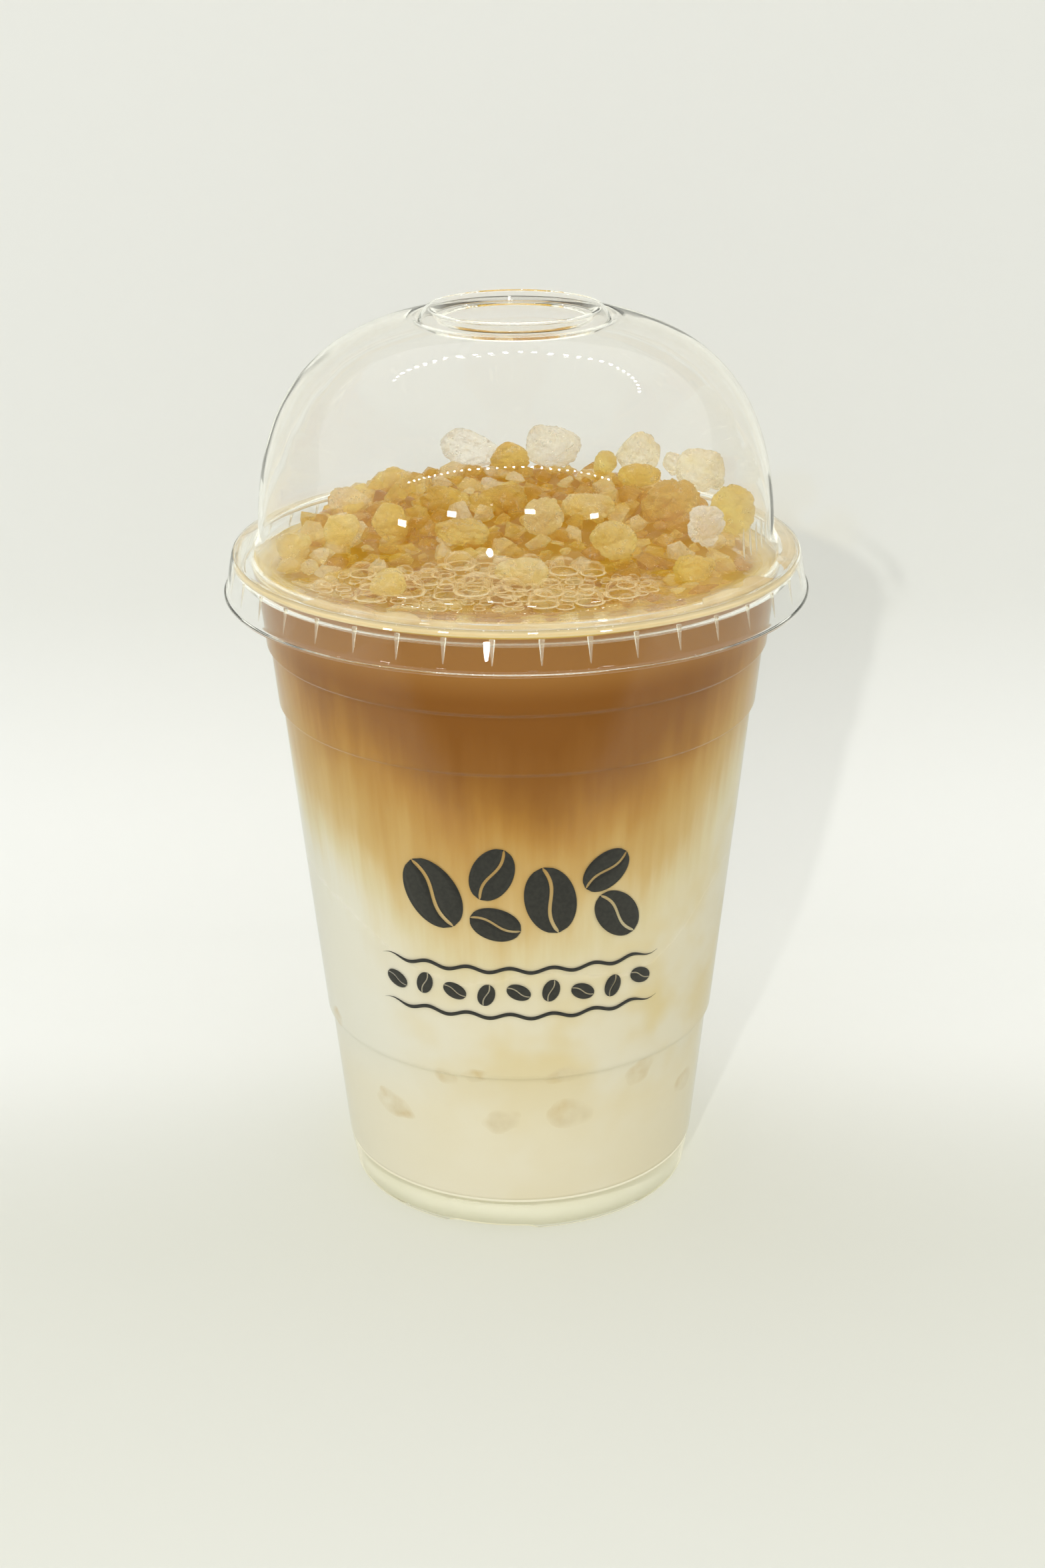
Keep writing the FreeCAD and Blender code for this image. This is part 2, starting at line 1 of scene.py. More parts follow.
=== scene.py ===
# %% [markdown]
# # Iced milk coffee in a clear cup
#
# The real drink is a thin plastic cup with a domed lid. Milk was poured first and coffee after it, so the
# two have only begun to mix, and crushed ice floats on top under the dome. Everything that has a size comes
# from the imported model, which is loaded first and never changed: each visible piece is built round it.

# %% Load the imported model
import json
import math
import random

import bmesh
import bpy
import numpy as np
from mathutils import Matrix, Vector
from mathutils.noise import turbulence

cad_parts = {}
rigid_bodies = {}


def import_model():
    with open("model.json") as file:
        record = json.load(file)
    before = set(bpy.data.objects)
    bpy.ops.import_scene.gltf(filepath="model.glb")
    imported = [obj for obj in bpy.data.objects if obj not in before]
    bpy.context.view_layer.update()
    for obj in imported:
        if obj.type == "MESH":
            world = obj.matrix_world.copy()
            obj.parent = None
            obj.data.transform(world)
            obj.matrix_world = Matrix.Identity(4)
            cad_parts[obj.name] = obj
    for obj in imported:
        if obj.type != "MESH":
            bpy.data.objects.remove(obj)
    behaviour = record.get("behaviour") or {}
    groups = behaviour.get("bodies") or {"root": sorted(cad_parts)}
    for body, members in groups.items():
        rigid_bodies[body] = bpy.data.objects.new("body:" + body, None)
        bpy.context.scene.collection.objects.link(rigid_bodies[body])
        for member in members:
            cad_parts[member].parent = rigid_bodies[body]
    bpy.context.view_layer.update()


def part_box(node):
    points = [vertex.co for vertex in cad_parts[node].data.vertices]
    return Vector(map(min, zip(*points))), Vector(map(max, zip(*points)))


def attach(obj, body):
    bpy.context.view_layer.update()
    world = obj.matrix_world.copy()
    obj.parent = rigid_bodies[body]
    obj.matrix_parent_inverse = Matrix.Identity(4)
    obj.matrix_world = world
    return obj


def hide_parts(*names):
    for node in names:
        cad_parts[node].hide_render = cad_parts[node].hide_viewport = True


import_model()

# %% [markdown]
# ## Sizes
#
# Lengths are written in millimetres times MM, because Blender works in metres. The big ones are read from
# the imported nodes, so the pieces fit the cup that was packed. The small ones, such as the thickness of the
# plastic, can't be read from a box and are named here.

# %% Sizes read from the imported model
MM = 0.001
FULL_TURN = 2 * math.pi
CUP_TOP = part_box("cup")[1].z
RIM_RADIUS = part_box("cup")[1].x
LID_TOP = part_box("lid")[1].z
LID_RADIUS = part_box("lid")[1].x
LID_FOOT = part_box("lid")[0].z
DRINK_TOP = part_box("coffee")[1].z
print(f"cup {1000 * CUP_TOP:.1f} mm high, drink up to {1000 * DRINK_TOP:.1f} mm")

# %% Small sizes of the plastic
WALL = 0.5 * MM
CURL = 1.9 * MM
TAPER = math.tan(math.radians(5.85))
STEP_WIDTH = 0.62 * MM
STEP_RISE = 0.6 * MM
STEP_HEIGHTS = (32.3 * MM, CUP_TOP - 28 * MM, CUP_TOP - 17 * MM)
SKIRT_HEIGHT = 6.4 * MM
SKIRT_FLARE = 1.15 * MM
SKIRT_WALL = 1.4 * MM
FLOOR_RISE = 1.2 * MM
FLOOR_WALL = 0.6 * MM

CURL_Z = CUP_TOP - CURL
CURL_R = RIM_RADIUS - CURL


def smooth_step(value):
    """0 below 0, 1 above 1, and a soft rise between."""
    value = min(1.0, max(0.0, value))
    return value * value * (3 - 2 * value)


def wall_radius(height):
    """Outer radius of the cup's tapered wall, which steps out at each stacking ring."""
    radius = CURL_R - CURL + WALL + (height - CURL_Z) * TAPER
    for step in STEP_HEIGHTS:
        radius -= STEP_WIDTH * (1 - smooth_step((height - step) / STEP_RISE))
    return radius


BASE_RADIUS = wall_radius(SKIRT_HEIGHT) - SKIRT_FLARE
print(f"base {2000 * BASE_RADIUS:.1f} mm wide, rim {2000 * RIM_RADIUS:.1f} mm wide")

# %% [markdown]
# ## Camera
#
# A product shot like this is taken from a little above, close to the cup, so the verticals lean inwards.
# The camera is set first, because every later choice of detail depends on what it sees.

# %% Camera
camera_data = bpy.data.cameras.new("camera")
camera = bpy.data.objects.new("camera", camera_data)
scene = bpy.context.scene
scene.collection.objects.link(camera)
camera_data.sensor_width = 36
camera_data.lens = 57.55
camera_data.clip_start = 0.02
camera_data.clip_end = 20
CAMERA_PLACE = (0, -0.42375, 0.24239)
LOOK_DOWN, TURN, ROLL = 21.648, -0.115, -0.361
turned_right = Matrix.Rotation(math.radians(TURN), 4, "Z")
tilted = Matrix.Rotation(math.radians(90 - LOOK_DOWN), 4, "X")
rolled = Matrix.Rotation(math.radians(ROLL), 4, "Z")
camera.matrix_world = Matrix.Translation(CAMERA_PLACE) @ turned_right @ tilted @ rolled
scene.camera = camera
print("camera at", [round(1000 * value) for value in camera.location], "mm")

# %% [markdown]
# ## Small helpers
#
# Most materials and node trees repeat the same three moves: add a node, fill its sockets, join it to the
# last one. These helpers do that in one line each, so the recipes below stay readable. A helper that is
# given a socket finds the node tree from it.


# %% Helpers for node trees
def add(tree, kind, inputs=None, **settings):
    """Adds a node, fills or links its sockets by name or number, and returns its first output."""
    if not kind.startswith(("Geometry", "Function", "NodeGroup")):
        kind = "ShaderNode" + kind
    node = tree.nodes.new(kind)
    for option, value in settings.items():
        setattr(node, option, value)
    for key, value in (inputs or {}).items():
        socket = node.inputs[key]
        if isinstance(value, bpy.types.NodeSocket):
            tree.links.new(value, socket)
        elif socket.type == "RGBA":
            socket.default_value = (*value[:3], 1)
        else:
            socket.default_value = value
    return node.outputs[0] if node.outputs else node


def home(*values):
    """The node tree that the sockets among the values belong to."""
    return next(value.id_data for value in values if isinstance(value, bpy.types.NodeSocket))


def calc(operation, *values, clamp=False):
    """A Math node's result."""
    return add(home(*values), "Math", dict(enumerate(values)), operation=operation, use_clamp=clamp)


def times(first, second, plus=0.0, clamp=False):
    """Two values multiplied, plus a third."""
    return calc("MULTIPLY_ADD", first, second, plus, clamp=clamp)


def ramp(value, stops, smooth=True):
    """A colour ramp with stops of (position, colour)."""
    colour = add(home(value), "ValToRGB", {0: value})
    colour.node.color_ramp.interpolation = "EASE" if smooth else "LINEAR"
    elements = colour.node.color_ramp.elements
    while len(elements) < len(stops):
        elements.new(0.5)
    for element, (position, shade) in zip(elements, stops):
        element.position = position
        element.color = (*shade, 1)
    return colour


def between(value, low, high, to_low=0.0, to_high=1.0):
    """A value mapped smoothly from one range to another and held there."""
    sockets = {"Value": value, "From Min": low, "From Max": high, "To Min": to_low, "To Max": to_high}
    return add(home(value), "MapRange", sockets, interpolation_type="SMOOTHSTEP")


def blend(factor, first, second):
    """Two colours mixed."""
    mix = add(home(factor), "Mix", {0: factor, 6: first, 7: second}, data_type="RGBA")
    return mix.node.outputs[2]


def noise(place, scale, detail=2.0, roughness=0.5, stretch=(1, 1, 1)):
    """Cloudy noise about 0.5 at a place, stretched along the axes."""
    place = add(home(place), "VectorMath", {0: place, 1: stretch}, operation="MULTIPLY")
    sockets = {"Vector": place, "Scale": scale, "Detail": detail, "Roughness": roughness}
    return add(home(place), "TexNoise", sockets)


def bump(height, strength, depth):
    """A surface direction that makes a height look raised, up to a depth in metres."""
    return add(home(height), "Bump", {"Height": height, "Strength": strength, "Distance": depth})


def new_material(name):
    """An empty material and its tree."""
    material = bpy.data.materials.new(name)
    material.use_nodes = True
    material.node_tree.nodes.clear()
    return material, material.node_tree


def place_in_mm(tree):
    """The point being shaded, in millimetres, with its parts x, y and z."""
    source = add(tree, "TexCoord").node.outputs["Object"]
    place = add(tree, "VectorMath", {0: source, "Scale": 1000.0}, operation="SCALE")
    return place, *add(tree, "SeparateXYZ", {0: place}).node.outputs


def stored(tree, name):
    """A value that is stored on the piece's points."""
    return add(tree, "Attribute", attribute_name=name).node.outputs["Fac"]


def mixed(factor, first, second):
    """Two surfaces mixed: the first where the factor is 0, the second where it is 1."""
    return add(home(first), "MixShader", {0: factor, 1: first, 2: second})


def see_through_for_light(surface, tint):
    """Lets lamps and soft light pass a clear surface, which Cycles would take for a solid one."""
    tree = home(surface)
    path = add(tree, "LightPath").node.outputs
    passing = calc("MAXIMUM", path["Is Shadow Ray"], path["Is Diffuse Ray"])
    clear = add(tree, "BsdfTransparent", {0: tint})
    return add(tree, "OutputMaterial", {0: mixed(passing, surface, clear)})


print("node helpers ready")


# %% Helpers for meshes
def closed_mesh(name, points, faces, merge=0.0, **values):
    """A closed mesh with its faces turned outwards, and named values on its points."""
    mesh = bpy.data.meshes.new(name)
    mesh.from_pydata([tuple(point) for point in points], [], faces)
    for label, numbers in values.items():
        mesh.attributes.new(label, "FLOAT", "POINT").data.foreach_set("value", numbers)
    shell = bmesh.new()
    shell.from_mesh(mesh)
    if merge:
        bmesh.ops.remove_doubles(shell, verts=shell.verts, dist=merge)
    bmesh.ops.recalc_face_normals(shell, faces=shell.faces)
    shell.to_mesh(mesh)
    shell.free()
    return mesh


def make_object(mesh, smooth=True):
    """An object with a mesh's own name, shaded smooth or flat."""
    mesh.polygons.foreach_set("use_smooth", [smooth] * len(mesh.polygons))
    thing = bpy.data.objects.new(mesh.name, mesh)
    scene.collection.objects.link(thing)
    return thing


def make_piece(mesh, material=None, smooth=True):
    """A mesh as a piece of the drink."""
    if material:
        mesh.materials.append(material)
    piece = make_object(mesh, smooth)
    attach(piece, "root")
    print(f"{piece.name}: {len(mesh.polygons)} faces")
    return piece


def net(rows, wide, closed=False):
    """Faces of a net of points: rows of one width, each joined to the next, and closed to rings or not."""
    faces = []
    for start in range(0, (rows - 1) * wide, wide):
        for step in range(wide if closed else wide - 1):
            after = (step + 1) % wide
            faces.append((start + step, start + after, start + wide + after, start + wide + step))
    return faces


def skin(rows, wide):
    """Faces of a thin closed skin: a net, another one under it, and a border round both."""
    size = rows * wide
    starts = range(0, size - wide, wide)
    edges = [(start + end, start + wide + end) for start in starts for end in (0, wide - 1)]
    edges += [(start + step, start + step + 1) for start in (0, size - wide) for step in range(wide - 1)]
    upper = net(rows, wide)
    under = [[corner + size for corner in face] for face in upper]
    return upper + under + [(a, b, b + size, a + size) for a, b in edges]


def turned(outline, sides):
    """Points and faces of a closed outline of (radius, height) turned once round the upright axis."""
    points, faces, rings = [], [], []
    for radius, height in outline:
        if radius < 1e-7:
            rings.append([len(points)] * sides)
            points.append((0.0, 0.0, height))
            continue
        rings.append(list(range(len(points), len(points) + sides)))
        for side in range(sides):
            turn = FULL_TURN * side / sides
            points.append((radius * math.cos(turn), radius * math.sin(turn), height))
    for low, high in zip(rings, rings[1:] + rings[:1]):
        for side in range(sides):
            after = (side + 1) % sides
            corners = [low[side], low[after], high[after], high[side]]
            face = [corner for i, corner in enumerate(corners) if corner not in corners[:i]]
            if len(face) > 2:
                faces.append(face)
    return points, faces


def quadratic(start, pull, end, along):
    """A point on the curve from start to end that leaves and arrives in line with pull."""
    return start * (1 - along) ** 2 + pull * 2 * along * (1 - along) + end * along**2


def rounded(corners, cut, steps=4):
    """An open run of corners, each but the ends cut back and bridged by a small curve."""
    run = [corners[0]]
    for before, corner, after in zip(corners, corners[1:], corners[2:]):
        before, corner, after = Vector(before), Vector(corner), Vector(after)
        start, end = (
            corner + (other - corner).normalized() * min(cut, 0.45 * (other - corner).length)
            for other in (before, after)
        )
        run += [tuple(quadratic(start, corner, end, step / steps)) for step in range(steps + 1)]
    return run + [corners[-1]]


def sheet_outline(run, wall):
    """A closed outline of even thickness: a run of the outer face, and back along the inner one."""
    inner = []
    for i, point in enumerate(run):
        before, after = Vector(run[max(0, i - 1)]), Vector(run[min(len(run) - 1, i + 1)])
        along = (after - before).normalized()
        inner.append((point[0] - along.y * wall, point[1] + along.x * wall))
    return run + inner[::-1]


print("mesh helpers ready")

# %% [markdown]
# ## Backdrop and light
#
# The cup stands on a sheet of pale card that curves up close behind it, so there is no horizon. The curve
# is a short run of points swept sideways. From behind, the card is clear, so that the cup can be looked at
# from every side. The light is soft and even, with one small lamp beside the camera whose shadow falls on
# the card to the right.


# %% Colours
def paint(red, green, blue):
    """A colour given as display values from 0 to 255, as Blender's linear numbers."""
    values = (value / 255 for value in (red, green, blue))
    return tuple(value / 12.92 if value < 0.04045 else ((value + 0.055) / 1.055) ** 2.4 for value in values)


CARD_FRONT = paint(212, 213, 203)
# The card's colour at its curve is painted lighter, standing for the light the curve catches.
CARD_CURVE_PAINTED_LIGHT = paint(232, 233, 228)
CARD_TOP = paint(224, 225, 220)
# A painted dark reflection: mirrored rays see the front of the card in this dark colour.
PAINTED_DARK_REFLECTION = (0.03, 0.03, 0.028)
PAINTED_DARK_SHARE = 0.85
# Painted glow of the card for rays mirrored twice: a painted reflection.
TWICE_MIRRORED_PAINTED_GLOW = 0.35
print("card colour", [round(value, 2) for value in CARD_TOP])

# %% Floor and backdrop
CARD_DISTANCE = 156 * MM
CARD_CURVE_RADIUS = 61 * MM
CARD_REACH = 1.2
CARD_HEIGHT = 0.3
CARD_STEPS = 24
# The stops run up the card, from 300 mm in front of the cup to its top edge.
# The colour stops and the glow stops are painted lightest at the curve: painted light.
CARD_STOPS = [(0.0, CARD_FRONT), (0.24, CARD_FRONT), (0.41, CARD_CURVE_PAINTED_LIGHT), (0.55, CARD_CURVE_PAINTED_LIGHT), (0.78, CARD_TOP)]
CARD_PAINTED_GLOWS = [(0.0, 0.085), (0.3, 0.1), (0.4, 0.15), (0.47, 0.165), (0.56, 0.14), (0.7, 0.13)]


def card_run():
    """The card's side view, from the front edge over the curve to its top."""
    run = [(-CARD_REACH, 0.0)]
    for step in range(CARD_STEPS + 1):
        turn = math.radians(90 * step / CARD_STEPS)
        behind = CARD_DISTANCE - CARD_CURVE_RADIUS * (1 - math.sin(turn))
        run.append((behind, CARD_CURVE_RADIUS * (1 - math.cos(turn))))
    return run + [(CARD_DISTANCE, CARD_HEIGHT)]


def card_material():
    """Pale card, painted lightest where it curves, clear from behind, and a painted dark reflection in front.
    """
    material, tree = new_material("pale_card")
    _, _, y, z = place_in_mm(tree)
    share = between(calc("ADD", y, z), -300.0, 500.0)
    # Colour and glow are both painted lightest where the card curves: painted light.
    colour = ramp(share, CARD_STOPS)
    painted_glow_level = ramp(share, [(place, (level, level, level)) for place, level in CARD_PAINTED_GLOWS])
    path = add(tree, "LightPath").node.outputs
    # Mirrored rays see the card's front part as dark: a painted dark reflection.
    mirrored = calc("COMPARE", path["Glossy Depth"], 1.0, 0.1)
    painted_dark_mask = times(mirrored, between(y, -135.0, -175.0, 0.0, PAINTED_DARK_SHARE))
    # The card glows by the painted glow level for camera rays and glows for rays mirrored twice: painted
    # light and painted reflection.
    again = calc("GREATER_THAN", path["Glossy Depth"], 1.5)
    seen = calc("MAXIMUM", path["Is Camera Ray"], path["Is Transmission Ray"])
    light = add(tree, "Emission", {0: colour, 1: times(again, TWICE_MIRRORED_PAINTED_GLOW, times(seen, painted_glow_level))})
    paper = add(tree, "BsdfDiffuse", {0: colour})
    shade = add(tree, "BsdfDiffuse", {0: PAINTED_DARK_REFLECTION})
    face = add(tree, "AddShader", {0: mixed(painted_dark_mask, paper, shade), 1: light})
    behind = add(tree, "NewGeometry").node.outputs["Backfacing"]
    add(tree, "OutputMaterial", {0: mixed(behind, face, add(tree, "BsdfTransparent"))})
    return material


def make_stage(name, points, faces, material):
    """A mesh that is part of the stage and not of the drink."""
    mesh = bpy.data.meshes.new(name)
    mesh.from_pydata(points, [], faces)
    mesh.materials.append(material)
    thing = make_object(mesh)
    return thing


run = card_run()
card_points = [(side * CARD_REACH, y, z) for y, z in run for side in (-1, 1)]
make_stage("card", card_points, net(len(run), 2), card_material())

table_material, tree = new_material("pale_table")
add(tree, "OutputMaterial", {0: add(tree, "BsdfDiffuse", {0: CARD_FRONT})})
table_corners = [(-6, -6, -MM), (6, -6, -MM), (6, 6, -MM), (-6, 6, -MM)]
make_stage("table", table_corners, [(0, 1, 2, 3)], table_material)
print("card", round(1000 * CARD_DISTANCE), "mm behind the cup's middle")

# %% World and lamps
SOFT_LIGHT = 0.77
ROOM_DIM, ROOM_BRIGHT = 0.28, 1.3
MIRRORED_AGAIN = 1.5
BOUNCES = 24

scene.view_settings.view_transform = "Standard"
world = bpy.data.worlds.new("studio")
scene.world = world
world.use_nodes = True
tree = world.node_tree
tree.nodes.clear()
path = add(tree, "LightPath").node.outputs
_, ahead, up = add(tree, "SeparateXYZ", {0: add(tree, "TexCoord")}).node.outputs
overhead = between(up, 0.45, 0.85, SOFT_LIGHT, 1.6 * SOFT_LIGHT)
in_front = between(ahead, -0.75, -0.3, ROOM_DIM, ROOM_BRIGHT)
above = between(up, 0.5, 0.75, ROOM_DIM, ROOM_BRIGHT)
again = times(calc("GREATER_THAN", path["Glossy Depth"], 1.5), MIRRORED_AGAIN)
room = calc("MAXIMUM", calc("MAXIMUM", in_front, above), again)
soft = add(tree, "Background", {0: (1.0, 1.0, 1.0), 1: overhead})
pale = add(tree, "Background", {0: CARD_TOP, 1: 1.0})
mirrored = add(tree, "Background", {0: CARD_TOP, 1: room})
seen = calc("MAXIMUM", path["Is Camera Ray"], path["Is Transmission Ray"])
reflected = calc("GREATER_THAN", path["Glossy Depth"], 0.5)
add(tree, "OutputWorld", {0: mixed(reflected, mixed(seen, soft, pale), mirrored)})

lamp_data = bpy.data.lights.new("lamp", "POINT")
lamp_data.energy = 3.2
lamp_data.shadow_soft_size = 7 * MM
lamp = bpy.data.objects.new("lamp", lamp_data)
lamp.location = (-0.1025, -0.555, 0.299)
scene.collection.objects.link(lamp)
lamp.visible_glossy = False

scene.cycles.max_bounces = BOUNCES
scene.cycles.glossy_bounces = BOUNCES
scene.cycles.transmission_bounces = BOUNCES
scene.cycles.transparent_max_bounces = 2 * BOUNCES
print("one lamp, soft light", SOFT_LIGHT)

# %% [markdown]
# ## Clear plastic
#
# The cup and lid are formed from thin clear sheet. A real glass shader bends and mirrors light at both faces
# of the sheet, which gives the bright and dark lines along every edge. Cycles lets no lamp through glass
# unless it is told to, so shadow rays and soft light pass straight on.


# %% Clear plastic
def clear_plastic(name, tint, passed):
    """Thin clear plastic with faint ripples from forming."""
    material, tree = new_material(name)
    place, *_ = place_in_mm(tree)
    ripples = bump(noise(place, 0.08, 1.0), 0.06, 0.002)
    sockets = {"Color": tint, "Roughness": 0.0, "IOR": 1.4, "Normal": ripples}
    see_through_for_light(add(tree, "BsdfGlass", sockets), passed)
    return material


CUP_PLASTIC = clear_plastic("clear_cup_plastic", (0.996, 0.997, 0.992), (0.995, 0.995, 0.99))
LID_PLASTIC = clear_plastic("clear_lid_plastic", (0.998, 0.998, 0.994), (0.997, 0.997, 0.993))
print("materials:", CUP_PLASTIC.name, LID_PLASTIC.name)

# %% [markdown]
# ## Cup
#
# The cup is one thin wall turned round the upright axis: a hollow base ring, a floor, a tapered side with
# three stacking rings, and a rim rolled outwards. Three shallow panels are pressed into the base ring. A
# turned outline is the plainest way to make it, and the panels are pressed in by moving its points. The
# base ring is matt inside, which a thin frosted lining of its own shows best.

# %% Cup outline
SIDES = 288


def wall_heights():
    """Heights along the side wall, close together at each stacking ring."""
    heights = set(np.linspace(SKIRT_HEIGHT, CURL_Z, 40))
    for step in STEP_HEIGHTS:
        heights |= {step + STEP_RISE * share for share in (-0.3, 0, 0.2, 0.4, 0.6, 0.8, 1.0, 1.3)}
    return sorted(heights)


def curl(radius, start, end, steps=18):
    """Part of the rim's circle, between two angles in degrees."""
    angles = [math.radians(start + (end - start) * step / steps) for step in range(steps + 1)]
    return [(CURL_R + radius * math.cos(angle), CURL_Z + radius * math.sin(angle)) for angle in angles]


def cup_outline():
    """Up the outside, over the rolled rim, down the inside and across the floor."""
    skirt = [(BASE_RADIUS + SKIRT_FLARE * share, SKIRT_HEIGHT * share) for share in np.linspace(0, 0.97, 14)]
    heights = wall_heights()[:-1]
    outside = skirt + [(wall_radius(height), height) for height in heights]
    inside = [(wall_radius(height) - WALL, height) for height in reversed(heights)]
    rim = curl(CURL - WALL, 180, -90) + curl(CURL, -90, 180)
    ring_inside = BASE_RADIUS - SKIRT_WALL
    floor = [
        (0.0, SKIRT_HEIGHT + FLOOR_RISE),
        (0.0, SKIRT_HEIGHT + FLOOR_RISE - FLOOR_WALL),
        (ring_inside, SKIRT_HEIGHT - FLOOR_WALL),
        (ring_inside, 0.0),
    ]
    return outside + rim + inside + floor


# %% Cup with its pressed panels
PANELS = 3
PANEL_ANGLE = 28.0
PANEL_DEPTH = 0.9 * MM
PANEL_HEIGHT = 5.6 * MM
PANEL_TURN = -10.0
PANEL_EDGE = 4.0
PANEL_TOP_EDGE = 0.8 * MM


def panel_press(point):
    """How far a point of the base ring is pressed in."""
    x, y, z = point
    azimuth = math.degrees(math.atan2(x, -y)) - PANEL_TURN
    off_centre = abs((azimuth + 180 / PANELS) % (360 / PANELS) - 180 / PANELS)
    across = smooth_step((PANEL_ANGLE / 2 - off_centre) / PANEL_EDGE + 0.5)
    return PANEL_DEPTH * across * smooth_step((PANEL_HEIGHT - z) / PANEL_TOP_EDGE)


cup_points, cup_faces = turned(cup_outline(), SIDES)
for i, (x, y, z) in enumerate(cup_points):
    radius = math.hypot(x, y)
    if z < SKIRT_HEIGHT and radius > BASE_RADIUS - 0.2 * MM:
        shrink = 1 - panel_press((x, y, z)) / radius
        cup_points[i] = (x * shrink, y * shrink, z)
cup = make_piece(closed_mesh("cup_wall", cup_points, cup_faces), CUP_PLASTIC)
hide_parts("cup")


# %% Frosted inside of the base ring
def frosted_plastic():
    """The same plastic with a matt face, which hides the hollow behind it."""
    material, tree = new_material("frosted_cup_plastic")
    place, *_ = place_in_mm(tree)
    colour = blend(noise(place, 0.15), paint(243, 241, 219), paint(248, 246, 229))
    sockets = {"Base Color": colour, "Roughness": 0.5, "IOR": 1.4, "Transmission Weight": 0.25}
    see_through_for_light(add(tree, "BsdfPrincipled", sockets), (0.9, 0.9, 0.85))
    return material


FROST_RADIUS = BASE_RADIUS - SKIRT_WALL - 0.03 * MM
FROST_THICKNESS = 0.2 * MM
FROST_LEVELS = (0.25 * MM, 5.6 * MM)
frost_outline = [(FROST_RADIUS, level) for level in FROST_LEVELS]
frost_outline += [(FROST_RADIUS - FROST_THICKNESS, level) for level in reversed(FROST_LEVELS)]
frost_mesh = closed_mesh("base_frost", *turned(frost_outline, SIDES))
base_frost = make_piece(frost_mesh, frosted_plastic())
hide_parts("cup")

# %% [markdown]
# ## Lid
#
# The lid is formed from one sheet: a lip, a ribbed collar that grips the rim, a sloping flange, the dome,
# and a raised ring round the hole. Its outer face is a run of points with softened corners, and the inner
# face follows it at the sheet's thickness, so the sheet is equally thin all over.

# %% Lid outline
LID_SHEET = 0.4 * MM
LID_GAP = 0.05 * MM
FLANGE_SLOPE = math.radians(14)
FLANGE_WIDTH = 4.6 * MM
SHOULDER_DROP = 1.5 * MM
COLLAR_FLARE = 0.85 * MM
LIP_WIDTH = 0.45 * MM
LIP_HEIGHT = 0.8 * MM
SOFT_CORNER = 0.5 * MM
DOME_CORNER = 0.8 * MM
DOME_HEIGHT = 40.25 * MM
DOME_FULLNESS = 0.75
HOLE_RADIUS = 12.3 * MM
HOLE_LAND = 0.7 * MM
HOLE_DROP = 1.9 * MM
RING_WIDTH = 4.2 * MM
RING_HEIGHT = 2.6 * MM

EDGE_R = RIM_RADIUS + LID_GAP + LID_SHEET
EDGE_Z = CURL_Z + (CURL + LID_SHEET) / math.cos(FLANGE_SLOPE) - (EDGE_R - CURL_R) * math.tan(FLANGE_SLOPE)
COLLAR_R = LID_RADIUS - LIP_WIDTH
SHOULDER_R = COLLAR_R - COLLAR_FLARE
SHOULDER_Z = EDGE_Z - SHOULDER_DROP
DOME_R = EDGE_R - FLANGE_WIDTH
DOME_Z = EDGE_Z + FLANGE_WIDTH * math.tan(FLANGE_SLOPE)


def dome_point(along):
    """Radius and height on the dome, from its foot at 0 to where its top would be at 1."""
    foot, corner, top = (1 - along) ** 2, 2 * along * (1 - along), DOME_FULLNESS * along**2
    whole = foot + corner + top
    return DOME_R * (foot + corner) / whole, DOME_Z + DOME_HEIGHT * (corner + top) / whole


def dome_radius(height):
    """The dome's outer radius at a height."""
    low, high = 0.0, 1.0
    for _ in range(40):
        middle = (low + high) / 2
        low, high = (middle, high) if dome_point(middle)[1] < height else (low, middle)
    return dome_point(low)[0]


def lid_run():
    """The lid's outer face, from the lip up over the dome to the hole."""
    lip_top = LID_FOOT + LIP_HEIGHT
    skirt = [
        (COLLAR_R + 0.1 * MM, LID_FOOT),
        (LID_RADIUS, LID_FOOT + 0.15 * MM),
        (LID_RADIUS, lip_top),
        (COLLAR_R, lip_top + 0.1 * MM),
        (SHOULDER_R, SHOULDER_Z),
        (EDGE_R, EDGE_Z),
        (DOME_R + DOME_CORNER, DOME_Z - DOME_CORNER * math.tan(FLANGE_SLOPE)),
    ]
    ring_foot = HOLE_RADIUS + RING_WIDTH
    dome = [dome_point(along) for along in np.linspace(0.02, 1, 90)]
    dome = [point for point in dome if point[0] > ring_foot + DOME_CORNER]
    foot = Vector((ring_foot, LID_TOP - RING_HEIGHT))
    land = Vector((HOLE_RADIUS + HOLE_LAND, LID_TOP - HOLE_DROP))
    crest = Vector(((foot.x + land.x) / 2, LID_TOP))
    pull = 2 * crest - (foot + land) / 2
    ring = [tuple(quadratic(foot, pull, land, along)) for along in np.linspace(0, 1, 17)]
    return rounded(skirt + dome[:1], SOFT_CORNER) + dome[1:] + ring + [(HOLE_RADIUS, LID_TOP - HOLE_DROP)]


lid_mesh = closed_mesh("lid_dome", *turned(sheet_outline(lid_run(), LID_SHEET), SIDES))
lid = make_piece(lid_mesh, LID_PLASTIC)
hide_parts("lid")

# %% [markdown]
# ## Milk and coffee
#
# Milk and coffee fill the cup as two layers whose border is tilted and wavy. Both pieces follow the wall's
# inside and reach a little way into it, so that no gap of air shows behind the plastic. They share one
# recipe for colour, so the border between them is a soft cloud and not a line.


# %% Border between milk and coffee
def milk_top(x, y):
    """Height of the border: higher at the back and at the sides, with small waves."""
    x, y = x / MM, y / MM
    lean = y * math.tan(math.radians(13))
    lift = 9 * (x * MM / CURL_R) ** 2
    wave = 1.4 * (math.sin(0.19 * x + 0.9) + math.cos(0.16 * y - 0.5 + 0.08 * x))
    return (60 + lean + lift + wave) * MM


def drink_radius(height):
    """The drink's radius, half way into the plastic."""
    return wall_radius(height) - WALL / 2


